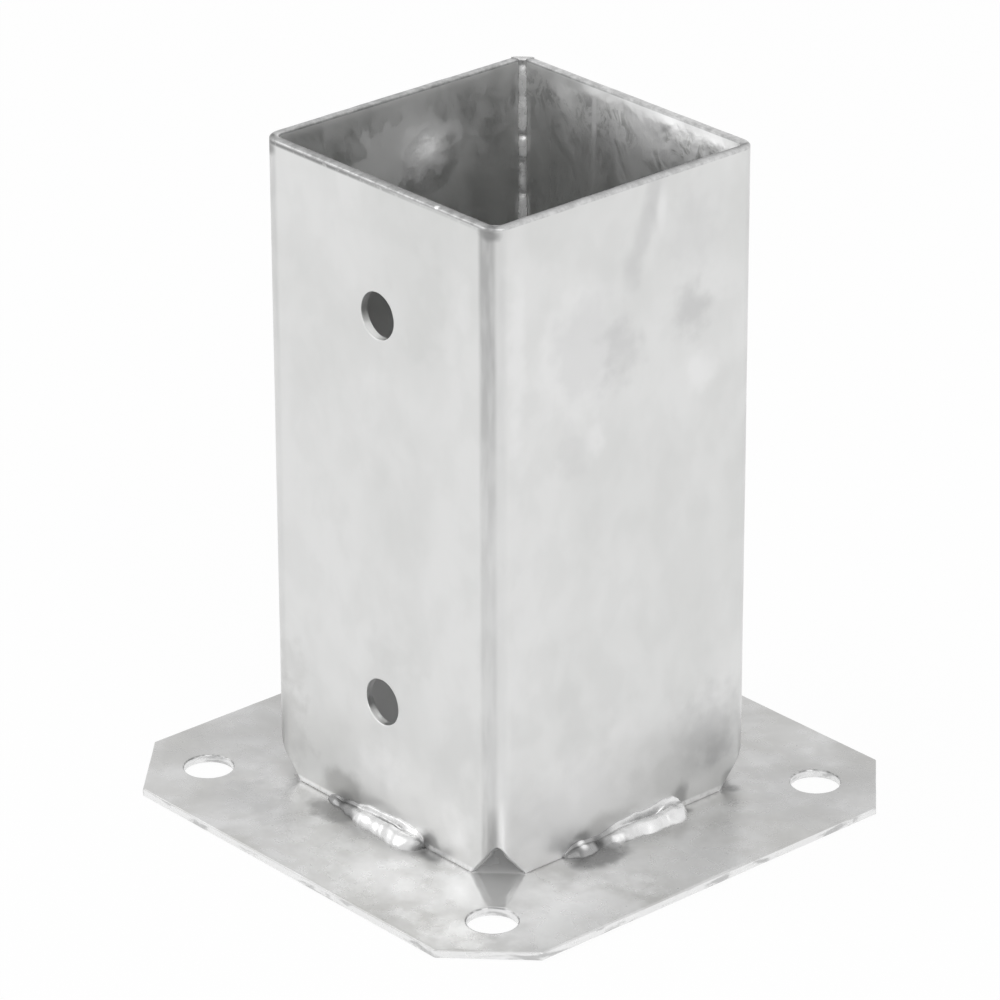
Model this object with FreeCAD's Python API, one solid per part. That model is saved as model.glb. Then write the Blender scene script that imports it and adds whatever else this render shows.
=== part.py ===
import FreeCAD, Part

import math
import os

# Bolt-down post base: a folded square sleeve welded on a square ground plate.
# Origin at the centre of the plate's underside, +Z up, the cross-bolt holes along Y.

V = FreeCAD.Vector

# ---- sheet and sleeve -------------------------------------------------------
SHEET = 2.0                      # gauge of plate and sleeve
POST_OPENING = 70.0              # square timber post that the sleeve takes
SLEEVE_OUTER = POST_OPENING + 2 * SHEET
SLEEVE_HEIGHT = 150.0
BEND_OUTER = 4.0                 # outside radius of each fold
RIM_ROLL = 0.6                   # rounded outer edge of the sheared rim
SEAM_GAP = 3.2                   # each sheet edge stops this short of the corner
NOTCH_REACH = 8.5                # V notch: reach along each face
NOTCH_RISE = 8.3                 # V notch: height at the corner

# ---- ground plate -----------------------------------------------------------
PLATE_SIDE = 130.0
PLATE_CORNER_CUT = 16.0
PLATE_EDGE_ROLL = 0.5
ANCHOR_SPACING = 95.0
ANCHOR_HOLE_R = 5.5
HOLE_EDGE_BREAK = 0.3            # small bevel where the zinc rounds a hole's edge

# ---- cross-bolt holes -------------------------------------------------------
CROSS_HOLE_R = 5.25
CROSS_HOLE_FROM_END = 30.0       # from the sleeve's foot and from its rim

# ---- fillet welds -----------------------------------------------------------
FILLET_WALL_LEG = 3.4
FILLET_PLATE_LEG = 4.0
FILLET_TAPER = 3.2               # length over which a bead's end fades out
FILLET_END = 0.22                # share of the full size left at the very end
FILLET_RIPPLE_PITCH = 2.6
FILLET_RIPPLE = 0.035
FILLET_STATION = 0.85            # spacing of the bead's cross-sections
# Bead face from wall toe to plate toe, as shares of the plate leg and the wall leg,
# and how strongly the groove beside the wall pulls each point in.
FILLET_FACE = (
    (0.00, 1.00, 0.0),
    (0.09, 0.95, 0.0),
    (0.20, 0.80, 0.8),
    (0.32, 0.76, 1.0),
    (0.46, 0.74, 0.3),
    (0.64, 0.62, 0.0),
    (0.82, 0.40, 0.0),
    (0.95, 0.16, 0.0),
    (1.00, 0.00, 0.0),
)

# ---- corner seam weld -------------------------------------------------------
SEAM_CAP_BULGE = 0.45            # rise of the weld face over the two sheet edges
SEAM_CAP_SEGMENTS = 5
SEAM_RIPPLE = 0.12
SEAM_RIPPLE_PITCH = 5.0
SEAM_STATION = 1.25
ROOT_TOE = 0.9                   # how far a full run spreads over each inner face
ROOT_LEAST = 0.08
# Root runs inside the corner: start and end below the rim, and height of the run.
ROOT_RUNS = (
    (1.5, 13.0, 0.95),
    (16.0, 23.5, 0.85),
    (22.0, 30.0, 0.45),
    (28.0, 37.5, 0.90),
    (42.0, 61.0, 0.70),
    (66.0, 79.0, 0.95),
    (84.0, 104.0, 0.60),
    (110.0, 122.0, 0.90),
    (125.0, 137.0, 0.75),
)

HALF = SLEEVE_OUTER / 2
TOP_Z = SHEET + SLEEVE_HEIGHT
LONG = 2 * PLATE_SIDE            # longer than the part, for through cuts


def edge(x0, y0, x1, y1):
    """Straight edge in the plate's top plane."""
    return Part.makeLine(V(x0, y0, SHEET), V(x1, y1, SHEET))


def bend(cx, cy, radius, start, end):
    """Quarter turn about (cx, cy) from angle start to angle end, in degrees."""
    def at(angle):
        turn = math.radians(angle)
        return V(cx + radius * math.cos(turn), cy + radius * math.sin(turn), SHEET)
    return Part.Arc(at(start), at((start + end) / 2), at(end)).toShape()


def sleeve_profile():
    """Cross-section of the folded sheet, open at the (-X, +Y) corner."""
    out = HALF
    flat = HALF - BEND_OUTER
    inn = HALF - SHEET
    bend_inner = BEND_OUTER - SHEET
    stop = HALF - SEAM_GAP
    outside = [
        edge(-out, stop, -out, -flat),
        bend(-flat, -flat, BEND_OUTER, 180, 270),
        edge(-flat, -out, flat, -out),
        bend(flat, -flat, BEND_OUTER, 270, 360),
        edge(out, -flat, out, flat),
        bend(flat, flat, BEND_OUTER, 0, 90),
        edge(flat, out, -stop, out),
    ]
    inside = [
        edge(-stop, inn, flat, inn),
        bend(flat, flat, bend_inner, 90, 0),
        edge(inn, flat, inn, -flat),
        bend(flat, -flat, bend_inner, 360, 270),
        edge(flat, -inn, -flat, -inn),
        bend(-flat, -flat, bend_inner, 270, 180),
        edge(-inn, -flat, -inn, stop),
    ]
    ends = [edge(-stop, out, -stop, inn), edge(-inn, stop, -out, stop)]
    return Part.Face(Part.Wire(outside + ends[:1] + inside + ends[1:]))


def corner_notches():
    """Four V notches, each cut along a diagonal of the sleeve at its foot."""
    half_width = NOTCH_REACH / math.sqrt(2)
    below = 1.0
    slope = half_width / NOTCH_RISE
    foot = half_width + below * slope
    outline = Part.makePolygon([
        V(0, -foot, -below),
        V(0, foot, -below),
        V(0, 0, NOTCH_RISE),
        V(0, -foot, -below),
    ])
    wedge = Part.Face(outline).extrude(V(PLATE_SIDE, 0, 0))
    wedge.translate(V(HALF / 2, 0, SHEET))
    cuts = []
    for quarter in range(4):
        cut = wedge.copy()
        cut.rotate(V(0, 0, 0), V(0, 0, 1), 45 + 90 * quarter)
        cuts.append(cut)
    return cuts


def cross_hole_heights():
    """Heights of the two cross-bolt axes."""
    return (SHEET + CROSS_HOLE_FROM_END, TOP_Z - CROSS_HOLE_FROM_END)


def outer_rim_edges(solid):
    """Edges of the top face that follow the sleeve's outer line."""
    chosen = []
    for line in solid.Edges:
        if line.BoundBox.ZMin < TOP_Z - 0.01:
            continue
        if line.Curve.TypeId == "Part::GeomCircle":
            if line.Curve.Radius > BEND_OUTER - SHEET / 2:
                chosen.append(line)
            continue
        middle = line.valueAt((line.FirstParameter + line.LastParameter) / 2)
        if line.Length > SHEET and max(abs(middle.x), abs(middle.y)) > HALF - SHEET / 2:
            chosen.append(line)
    return chosen


def hole_edges(solid, radius, test):
    """Round edges of one radius whose centre passes a test."""
    found = []
    for line in solid.Edges:
        if line.Curve.TypeId != "Part::GeomCircle":
            continue
        if abs(line.Curve.Radius - radius) > 0.001:
            continue
        if test(line.Curve.Center):
            found.append(line)
    return found


def post_sleeve():
    """The folded sleeve with its notches, cross-bolt holes and rolled edges."""
    body = sleeve_profile().extrude(V(0, 0, SLEEVE_HEIGHT))
    body = body.makeFillet(RIM_ROLL, outer_rim_edges(body))
    for cut in corner_notches():
        body = body.cut(cut)
    for height in cross_hole_heights():
        drill = Part.makeCylinder(CROSS_HOLE_R, LONG, V(0, -LONG / 2, height), V(0, 1, 0))
        body = body.cut(drill)
    outer_rings = hole_edges(body, CROSS_HOLE_R, lambda c: abs(abs(c.y) - HALF) < 0.01)
    body = body.makeChamfer(HOLE_EDGE_BREAK, outer_rings)
    return body.removeSplitter()


def base_plate():
    """Square plate with cut corners and four anchor holes."""
    side = PLATE_SIDE / 2
    cut = side - PLATE_CORNER_CUT
    corners = [
        (-cut, -side), (cut, -side), (side, -cut), (side, cut),
        (cut, side), (-cut, side), (-side, cut), (-side, -cut),
    ]
    points = [V(x, y, 0) for x, y in corners]
    face = Part.Face(Part.makePolygon(points + points[:1]))
    body = face.extrude(V(0, 0, SHEET))
    reach = ANCHOR_SPACING / 2
    for sx in (-1, 1):
        for sy in (-1, 1):
            drill = Part.makeCylinder(ANCHOR_HOLE_R, 2 * SHEET, V(sx * reach, sy * reach, -SHEET / 2))
            body = body.cut(drill)
    outline = []
    for line in body.Edges:
        box = line.BoundBox
        if box.ZMin > SHEET - 0.01 and line.Curve.TypeId == "Part::GeomLine":
            outline.append(line)
    body = body.makeFillet(PLATE_EDGE_ROLL, outline)
    rings = hole_edges(body, ANCHOR_HOLE_R, lambda c: c.z > SHEET / 2)
    return body.makeChamfer(HOLE_EDGE_BREAK, rings)


def fade(distance, length, taper):
    """0 at a bead's ends, 1 along its middle, rounded in between."""
    edge_distance = min(distance, length - distance)
    share = min(1.0, max(0.0, edge_distance / taper))
    return math.sqrt(1 - (1 - share) ** 2)


def fillet_section(station, distance, wall_leg, plate_leg, groove, spots):
    """Closed outline of a bead across its run, from the joint corner round its face."""
    points = [V(station, 0, 0)]
    for out_share, up_share, pull in FILLET_FACE:
        out = out_share * plate_leg
        up = up_share * wall_leg
        grow = 1 - groove * pull
        for spot_at, spot_share, height, radius in spots:
            along = (distance - spot_at) / radius
            across = (out_share - spot_share) * plate_leg / radius
            grow += height / FILLET_WALL_LEG * math.exp(-along ** 2 - across ** 2)
        points.append(V(station, -out * grow, up * grow))
    return Part.makePolygon(points + points[:1])


def fillet_bead(length, unevenness, groove, phase, spots):
    """A bead along X against a wall at y = 0, on a plate at z = 0, centred on x = 0.

    spots are pits and lumps: distance from the start, share across the face from
    wall toe to plate toe, height (below zero for a pit) and radius.
    """
    steps = int(round(length / FILLET_STATION))
    sections = []
    for index in range(steps + 1):
        distance = length * index / steps
        size = FILLET_END + (1 - FILLET_END) * fade(distance, length, FILLET_TAPER)
        ripple = FILLET_RIPPLE * math.sin(2 * math.pi * distance / FILLET_RIPPLE_PITCH)
        sway = unevenness * math.sin(0.37 * distance + phase)
        swell = unevenness * math.sin(0.71 * distance + 2.1 * phase)
        wall_leg = FILLET_WALL_LEG * size * (1 + ripple + sway)
        plate_leg = FILLET_PLATE_LEG * size * (1 + ripple + swell)
        depth = groove * size * (1.3 + math.sin(0.23 * distance + phase)) / 2.3
        station = distance - length / 2
        sections.append(fillet_section(station, distance, wall_leg, plate_leg, depth, spots))
    return Part.makeLoft(sections, True, True)


def placed(bead, quarter, shift):
    """Moves a bead from the model line to the foot of one of the four faces."""
    moved = bead.copy()
    moved.translate(V(shift, -HALF, SHEET))
    moved.rotate(V(0, 0, 0), V(0, 0, 1), 90 * quarter)
    return moved


def fillet_weld_front():
    """Smooth bead under the face with the cross-bolt holes, a pit at each end."""
    spots = [(2.6, 0.45, -1.3, 1.5), (30.0, 0.45, -1.3, 1.4)]
    return placed(fillet_bead(32.0, 0.05, 0.30, 0.4, spots), 0, -2.2)


def fillet_weld_right():
    """Lumpy bead under the plain face beside it."""
    spots = [
        (3.2, 0.15, 0.8, 1.3),
        (8.0, 0.35, -1.5, 1.6),
        (11.0, 0.90, -0.7, 2.2),
        (16.5, 0.10, 0.6, 1.8),
        (26.5, 0.10, 0.9, 1.5),
        (24.0, 0.60, 0.4, 2.5),
        (33.4, 0.60, -0.9, 1.3),
    ]
    return placed(fillet_bead(35.0, 0.11, 0.26, 1.9, spots), 1, -0.5)


def fillet_weld_back():
    """Bead on the far face."""
    spots = [(6.0, 0.20, 0.5, 1.8), (30.6, 0.45, -1.2, 1.5)]
    return placed(fillet_bead(33.0, 0.08, 0.18, 3.1, spots), 2, 1.2)


def fillet_weld_left():
    """Bead on the fourth face."""
    spots = [(2.8, 0.45, -1.2, 1.5), (14.0, 0.15, 0.6, 2.0)]
    return placed(fillet_bead(34.0, 0.10, 0.22, 5.0, spots), 3, -1.0)


def root_height(below_rim):
    """Height of the root metal at one depth below the rim."""
    height = ROOT_LEAST
    for start, end, bulge in ROOT_RUNS:
        half_length = (end - start) / 2
        share = (below_rim - (start + end) / 2) / half_length
        if abs(share) < 1:
            height = max(height, bulge * math.sqrt(1 - share ** 2))
    return height


def seam_section(height, cap_bulge):
    """Weld metal between the two sheet edges: rounded cap, flat sides, uneven root."""
    out = HALF
    stop = HALF - SEAM_GAP
    inn = HALF - SHEET
    cap = []
    for index in range(SEAM_CAP_SEGMENTS + 1):
        share = index / SEAM_CAP_SEGMENTS
        rise = cap_bulge * (1 - (2 * share - 1) ** 2) / math.sqrt(2)
        cap.append((-stop - SEAM_GAP * share - rise, out - SEAM_GAP * share + rise))
    root = root_height(TOP_Z - height)
    toe = ROOT_TOE * root
    middle = (stop + inn) / 2
    tip = middle - root / math.sqrt(2)
    shoulder_in = tip + 0.12 * root
    shoulder_side = middle + 0.45 * toe
    points = cap + [
        (-inn, stop),
        (-inn, stop - toe),
        (-shoulder_side, shoulder_in),
        (-tip, tip),
        (-shoulder_in, shoulder_side),
        (-stop + toe, inn),
        (-stop, inn),
    ]
    corners = [V(x, y, height) for x, y in points]
    return Part.makePolygon(corners + corners[:1])


def seam_weld():
    """Corner seam: a rippled cap outside and uneven root runs inside."""
    steps = int(round(SLEEVE_HEIGHT / SEAM_STATION))
    sections = []
    for index in range(steps + 1):
        height = SHEET + SLEEVE_HEIGHT * index / steps
        ripple = SEAM_RIPPLE * math.sin(2 * math.pi * height / SEAM_RIPPLE_PITCH)
        sections.append(seam_section(height, SEAM_CAP_BULGE + ripple))
    bead = Part.makeLoft(sections, True, True)
    for cut in corner_notches():
        bead = bead.cut(cut)
    return bead


def main():
    parts = {
        "base_plate": base_plate(),
        "post_sleeve": post_sleeve(),
        "seam_weld": seam_weld(),
        "fillet_weld_front": fillet_weld_front(),
        "fillet_weld_right": fillet_weld_right(),
        "fillet_weld_back": fillet_weld_back(),
        "fillet_weld_left": fillet_weld_left(),
    }
    os.makedirs("parts", exist_ok=True)
    for name, solid in parts.items():
        solid.exportStep("parts/" + name + ".step")
        print(name, solid.ShapeType, len(solid.Solids), solid.isValid(), round(solid.Volume, 1))


main()
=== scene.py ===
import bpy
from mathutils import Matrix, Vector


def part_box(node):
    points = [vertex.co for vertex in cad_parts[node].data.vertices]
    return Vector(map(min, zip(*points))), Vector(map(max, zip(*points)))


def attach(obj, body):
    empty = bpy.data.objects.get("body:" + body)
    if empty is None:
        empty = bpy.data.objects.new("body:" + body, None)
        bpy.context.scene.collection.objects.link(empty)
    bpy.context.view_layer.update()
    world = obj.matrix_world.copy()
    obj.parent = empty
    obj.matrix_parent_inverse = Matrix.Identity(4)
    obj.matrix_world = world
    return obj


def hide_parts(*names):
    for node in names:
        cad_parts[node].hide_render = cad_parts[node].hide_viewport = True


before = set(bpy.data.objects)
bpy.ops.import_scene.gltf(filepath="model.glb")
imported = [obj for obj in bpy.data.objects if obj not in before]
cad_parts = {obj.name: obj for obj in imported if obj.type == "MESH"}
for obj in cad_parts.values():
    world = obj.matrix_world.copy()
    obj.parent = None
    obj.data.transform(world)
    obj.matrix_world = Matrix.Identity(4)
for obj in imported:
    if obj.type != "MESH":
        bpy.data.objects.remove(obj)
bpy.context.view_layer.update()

import math

import bpy
from bpy.props import FloatProperty, FloatVectorProperty, IntProperty, PointerProperty
from mathutils import Matrix, Vector, noise
from mathutils.geometry import delaunay_2d_cdt

bl_info = {
    "name": "Timber Post Base",
    "version": (1, 0, 0),
    "blender": (4, 5, 0),
    "location": "View3D > Sidebar > Post Base",
    "description": "Galvanised bolt-down post base: folded sleeve, ground plate and welds",
    "category": "Add Mesh",
}

# The mesh code works in millimetres. Meshes are scaled to metres as they are made.
MM = 0.001
PLATE_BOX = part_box("base_plate")
SLEEVE_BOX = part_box("post_sleeve")
PLATE_THICKNESS = (PLATE_BOX[1][2] - PLATE_BOX[0][2]) / MM
PLATE_SIDE = (PLATE_BOX[1][0] - PLATE_BOX[0][0]) / MM
SLEEVE_OUTER = (SLEEVE_BOX[1][0] - SLEEVE_BOX[0][0]) / MM
RIM_HEIGHT = SLEEVE_BOX[1][2] / MM


# ---- sizes and colours that a user would change --------------------------------

class PostBaseSleeveSettings(bpy.types.PropertyGroup):
    """Folded sleeve of sheet"""
    gauge: FloatProperty(name="Gauge", description="Thickness of the sheet, mm", default=2.0)
    bend: FloatProperty(name="Bend radius", description="Outside radius of each fold, mm", default=4.0)
    rim_roll: FloatProperty(name="Rim roll", description="Rounding of the rim's outer edge, mm", default=0.6)
    seam_gap: FloatProperty(name="Seam gap", description="Distance from each sheet edge to the corner, mm", default=3.2)
    notch_reach: FloatProperty(name="Notch reach", description="Reach of the foot notch along a face, mm", default=8.5)
    notch_rise: FloatProperty(name="Notch rise", description="Height of the foot notch at the corner, mm", default=8.3)
    hole_radius: FloatProperty(name="Cross hole radius", description="Radius of the cross-bolt holes, mm", default=5.25)
    hole_inset: FloatProperty(name="Cross hole inset", description="Hole centre from foot and from rim, mm", default=30.0)
    grid: FloatProperty(name="Mesh grid", description="Spacing of the mesh over the flats, mm", default=1.6, min=0.8)
    waviness: FloatProperty(name="Waviness", description="Unevenness of the zinc skin, mm", default=0.03)


class PostBasePlateSettings(bpy.types.PropertyGroup):
    """Ground plate"""
    corner_cut: FloatProperty(name="Corner cut", description="Cut corner, measured along each side, mm", default=16.0)
    edge_roll: FloatProperty(name="Edge roll", description="Rounding of the upper edge, mm", default=0.45)
    hole_radius: FloatProperty(name="Anchor hole radius", description="Radius of the anchor holes, mm", default=5.5)
    hole_spacing: FloatProperty(name="Anchor spacing", description="Distance between anchor hole centres, mm", default=95.0)
    grid: FloatProperty(name="Mesh grid", description="Spacing of the mesh over the flat, mm", default=2.0, min=0.8)
    waviness: FloatProperty(name="Waviness", description="Unevenness of the zinc skin, mm", default=0.035)


class PostBaseWeldSettings(bpy.types.PropertyGroup):
    """Fillet welds and corner seam"""
    wall_leg: FloatProperty(name="Wall leg", description="Height of a fillet bead on the wall, mm", default=3.4)
    plate_leg: FloatProperty(name="Plate leg", description="Width of a fillet bead on the plate, mm", default=4.0)
    taper: FloatProperty(name="Taper", description="Length over which a bead's end fades out, mm", default=3.2)
    station: FloatProperty(name="Station", description="Spacing of a bead's cross-sections, mm", default=0.3, min=0.1)
    roughness: FloatProperty(name="Surface noise", description="Fine unevenness of the beads, mm", default=0.05)


class PostBaseFinishSettings(bpy.types.PropertyGroup):
    """Galvanised finish"""
    zinc_light: FloatVectorProperty(name="Light zinc", description="Clean bright zinc", subtype="COLOR",
                                    size=4, min=0, max=1, default=(0.765, 0.767, 0.762, 1))
    zinc_dull: FloatVectorProperty(name="Dull zinc", description="Dull clouded zinc", subtype="COLOR",
                                   size=4, min=0, max=1, default=(0.66, 0.665, 0.655, 1))
    zinc_dark: FloatVectorProperty(name="Dark zinc", description="Oxide and flux stains", subtype="COLOR",
                                   size=4, min=0, max=1, default=(0.36, 0.37, 0.365, 1))
    seed: IntProperty(name="Seed", description="Start of the random cloud patterns", default=3)


class PostBaseStageSettings(bpy.types.PropertyGroup):
    """Floor, light and camera"""
    azimuth: FloatProperty(name="Azimuth", description="Direction the camera looks from", subtype="ANGLE",
                           default=math.radians(48.5553))
    elevation: FloatProperty(name="Elevation", description="Height of the camera's view", subtype="ANGLE",
                             default=math.radians(24.5993))
    roll: FloatProperty(name="Roll", description="Tilt of the camera about its view", subtype="ANGLE",
                        default=math.radians(-0.212))
    distance: FloatProperty(name="Distance", description="Camera distance", unit="LENGTH", default=1.22513)
    lens: FloatProperty(name="Lens", description="Focal length on a 36 mm sensor, mm", default=204.398)
    floor_colour: FloatVectorProperty(name="Floor", description="Colour of floor and background", subtype="COLOR",
                                      size=4, min=0, max=1, default=(1, 1, 1, 1))


def sleeve_settings():
    return bpy.context.scene.post_base_sleeve


def plate_settings():
    return bpy.context.scene.post_base_plate


def weld_settings():
    return bpy.context.scene.post_base_weld


def finish_settings():
    return bpy.context.scene.post_base_finish


def stage_settings():
    return bpy.context.scene.post_base_stage


# ---- mesh helpers ---------------------------------------------------------------

def ripple_noise(point, size, seed=0.0):
    """Smooth noise from -1 to 1 at a point in mm, with features of about that size."""
    spot = Vector(point) / size + Vector((seed * 7.3, seed * 3.1, seed * 5.7))
    return noise.noise(spot)


def make_piece(name, points, faces, replaced, material):
    """Mesh object from points in mm. It rides the root body and takes a node's place."""
    mesh = bpy.data.meshes.new(name)
    mesh.from_pydata([Vector(p) * MM for p in points], [], faces)
    mesh.validate()
    mesh.update()
    piece = bpy.data.objects.new(name, mesh)
    bpy.context.scene.collection.objects.link(piece)
    mesh.polygons.foreach_set("use_smooth", [True] * len(mesh.polygons))
    mesh.materials.append(material)
    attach(piece, "root")
    if replaced:
        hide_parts(*replaced)
    return piece


def loop_normals(loop):
    """Unit vectors that point out of the material along a closed 2-D loop with material on its left."""
    count = len(loop)
    out = []
    for index in range(count):
        back = (loop[index] - loop[index - 1]).normalized()
        ahead = (loop[(index + 1) % count] - loop[index]).normalized()
        along = (back + ahead).normalized()
        stretch = 1 / max(0.6, along.dot(back))
        out.append(Vector((along.y, -along.x)) * stretch)
    return out


def round_edge(outer, inner, gauge, wall_steps):
    """Inset and depth of each ring round a sheet edge, from the outer skin to the inner one."""
    rings = []
    for step in range(5):
        turn = math.pi / 2 * step / 4
        rings.append((outer * (1 - math.sin(turn)), outer * (1 - math.cos(turn))))
    for step in range(1, wall_steps):
        share = step / wall_steps
        rings.append((0.0, outer + (gauge - outer - inner) * share))
    for step in range(4):
        turn = math.pi / 2 * step / 3
        rings.append((inner * (1 - math.cos(turn)), gauge - inner * (1 - math.sin(turn))))
    return rings


def sheet_mesh(loops, inner_points, gauge, roll_at, place, support=0.35):
    """Closed sheet: two skins over a flat pattern, joined round each loop by a rounded edge.

    loops are closed 2-D outlines with material on their left. roll_at gives the outer and
    inner rounding at a pattern point. place turns a pattern point and a depth into 3-D.
    """
    coords, spans = [], []
    for loop in loops:
        start = len(coords)
        out = loop_normals(loop)
        for point, away in zip(loop, out):
            outer, inner = roll_at(point)
            coords.append(point - away * (outer + support))
        spans.append((start, loop, out))
    coords += inner_points
    outlines = [list(range(start, start + len(loop))) for start, loop, out in spans]
    outlines[1:] = [list(reversed(hole)) for hole in outlines[1:]]
    made = delaunay_2d_cdt(coords, [], outlines, 1, 1e-7, True)
    flat = made[0]
    if len(flat) != len(coords):
        raise RuntimeError("the flat pattern's points ran together")
    kept = [face for face, source in zip(made[2], made[5]) if list(source) == [0]]
    count = len(flat)
    points = [place(p, 0.0) for p in flat]
    for index, p in enumerate(flat):
        points.append(place(p, gauge))
    faces = []
    for a, b, c in kept:
        faces.append((a, b, c))
        faces.append((count + c, count + b, count + a))
    for start, loop, out in spans:
        size = len(loop)
        rings = [[start + i for i in range(size)]]
        profiles = [round_edge(*roll_at(p), gauge, 4) for p in loop]
        for level in range(len(profiles[0])):
            ring = []
            for point, away, profile in zip(loop, out, profiles):
                inset, depth = profile[level]
                ring.append(len(points))
                points.append(place(point - away * inset, depth))
            rings.append(ring)
        rings.append([count + start + i for i in range(size)])
        for upper, lower in zip(rings, rings[1:]):
            for i in range(size):
                j = (i + 1) % size
                faces.append((upper[j], upper[i], lower[i], lower[j]))
    return points, faces


def divided(corners, step):
    """Closed 2-D outline through the corners, with points every step or so."""
    loop = []
    for a, b in zip(corners, corners[1:] + corners[:1]):
        count = max(1, round((b - a).length / step))
        loop += [a.lerp(b, i / count) for i in range(count)]
    return loop


def ring(centre, radius, count):
    """Circle as a hole: clockwise, so the material is on its left."""
    return [centre + Vector((math.cos(t), -math.sin(t))) * radius
            for t in (2 * math.pi * i / count for i in range(count))]


# ---- sleeve ----------------------------------------------------------------------

def sleeve_path():
    """Runs of the sleeve's outer line, seam to seam: length, start, direction, bend centre."""
    s = sleeve_settings()
    half = SLEEVE_OUTER / 2
    flat = half - s.bend
    stop = half - s.seam_gap
    arc = math.pi / 2 * s.bend
    return [
        (stop + flat, Vector((-half, stop)), Vector((0, -1)), None),
        (arc, math.pi, None, Vector((-flat, -flat))),
        (2 * flat, Vector((-flat, -half)), Vector((1, 0)), None),
        (arc, 1.5 * math.pi, None, Vector((flat, -flat))),
        (2 * flat, Vector((half, -flat)), Vector((0, 1)), None),
        (arc, 0.0, None, Vector((flat, flat))),
        (flat + stop, Vector((flat, half)), Vector((-1, 0)), None),
    ]


def on_path(path, distance, bend):
    """Outer point and outward normal at a distance along the sleeve's line."""
    left = distance
    for index, (length, start, along, centre) in enumerate(path):
        if left <= length or index == len(path) - 1:
            if centre is None:
                return start + along * left, Vector((along.y, -along.x))
            turn = start + left / bend
            out = Vector((math.cos(turn), math.sin(turn)))
            return centre + out * bend, out
        left -= length


def notch_edge(x, y):
    """Height of the sleeve's foot: it rises towards each corner, with a blunt top."""
    s = sleeve_settings()
    reach, blunt = s.notch_reach / math.sqrt(2), 1.0
    off = abs(abs(x) - abs(y)) / math.sqrt(2)
    share = (math.hypot(off, blunt) - blunt) / (math.hypot(reach, blunt) - blunt)
    return PLATE_THICKNESS + s.notch_rise * max(0.0, 1 - share)


def build_sleeve():
    """Folded sheet: notches at the foot, cross-bolt holes, rolled rim."""
    s = sleeve_settings()
    path = sleeve_path()
    total = sum(run[0] for run in path)
    bends = []
    travelled = 0.0
    for length, start, along, centre in path:
        if centre is not None:
            bends.append((travelled, travelled + length))
        travelled += length
    foot, rim = PLATE_THICKNESS, RIM_HEIGHT
    half = SLEEVE_OUTER / 2

    def notch_top(distance):
        """Height of the foot's edge along the sheet."""
        point, out = on_path(path, distance, s.bend)
        return notch_edge(point.x, point.y)

    columns = []
    travelled = 0.0
    for length, start, along, centre in path:
        count = 12 if centre is not None else max(1, round(length / s.grid))
        columns += [travelled + length * i / count for i in range(count)]
        travelled += length
    columns.append(total)

    marked = [0.0, total]
    for first, last in bends:
        marked.append((first + last) / 2)
        for reach in (-1, 1):
            marked.append((first + last) / 2 + reach * (s.notch_reach - s.bend + math.pi / 4 * s.bend))
    steps = round(total / 0.5)
    lower = list(marked)
    for i in range(1, steps):
        x = total * i / steps
        if 1.4 < x < total - 1.4 and min(abs(x - m) for m in marked) > 0.32:
            lower.append(x)
    lower.sort()
    outline = [Vector((x, notch_top(x) + 0.05 * ripple_noise((x, 0, 0), 3.0, 2))) for x in lower]
    side = max(2, round((rim - foot) / 1.5))
    for i in range(1, side):
        start = outline[len(lower) - 1].y
        outline.append(Vector((total, start + (rim - start) * i / side)))
    for x in reversed(lower):
        outline.append(Vector((x, rim + 0.07 * ripple_noise((x, 9, 0), 5.0, 1) - 0.03)))
    for i in range(side - 1, 0, -1):
        start = outline[0].y
        outline.append(Vector((0.0, start + (rim - start) * i / side)))

    faces_mid = []
    travelled = 0.0
    for index, (length, start, along, centre) in enumerate(path):
        if index == 2:
            faces_mid.append(travelled + length / 2)
        if index == 6:
            faces_mid.append(travelled + half - s.bend)
        travelled += length
    holes = []
    for number, middle in enumerate(faces_mid):
        for height in (foot + s.hole_inset, rim - s.hole_inset):
            hole = ring(Vector((middle, height)), s.hole_radius, 64)
            centre = Vector((middle, height))
            shaped = []
            for p in hole:
                away = p - centre
                lift = 0.05 * ripple_noise((away.x, away.y, height), 2.2, 5 + number)
                shaped.append(p + away.normalized() * lift)
            holes.append(shaped)

    inner_points = []
    rows = round((rim - foot) / s.grid)
    for x in columns[1:-1]:
        for i in range(1, rows):
            point = Vector((x, foot + (rim - foot) * i / rows))
            if point.y < notch_top(x) + 1.4 or point.y > rim - 1.5:
                continue
            if any((point - (h[0] + h[32]) / 2).length < s.hole_radius + 1.5 for h in holes):
                continue
            if point.x < 1.2 or point.x > total - 1.2:
                continue
            inner_points.append(point)

    def roll_at(point):
        if point.y > rim - 1:
            return s.rim_roll, 0.25
        if point.x < 0.01 or point.x > total - 0.01:
            return 0.02, 0.02
        if point.y < notch_top(min(max(point.x, 0), total)) + 0.4:
            return 0.38, 0.2
        return 0.2, 0.2

    def place(point, depth):
        x = min(max(point.x, 0.0), total)
        on, out = on_path(path, x, s.bend)
        at = (on.x - out.x * depth, on.y - out.y * depth, point.y)
        wave = s.waviness * (ripple_noise(at, 22.0, 1) + 0.4 * ripple_noise(at, 7.0, 2))
        fade = min(1.0, max(0.0, (point.y - foot - 1) / 6), max(0.0, (rim - point.y) / 4))
        wave *= fade * min(1.0, x / 4, (total - x) / 4)
        return (at[0] + out.x * wave, at[1] + out.y * wave, at[2])

    return sheet_mesh([outline] + holes, inner_points, s.gauge, roll_at, place)


# ---- plate -----------------------------------------------------------------------

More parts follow.
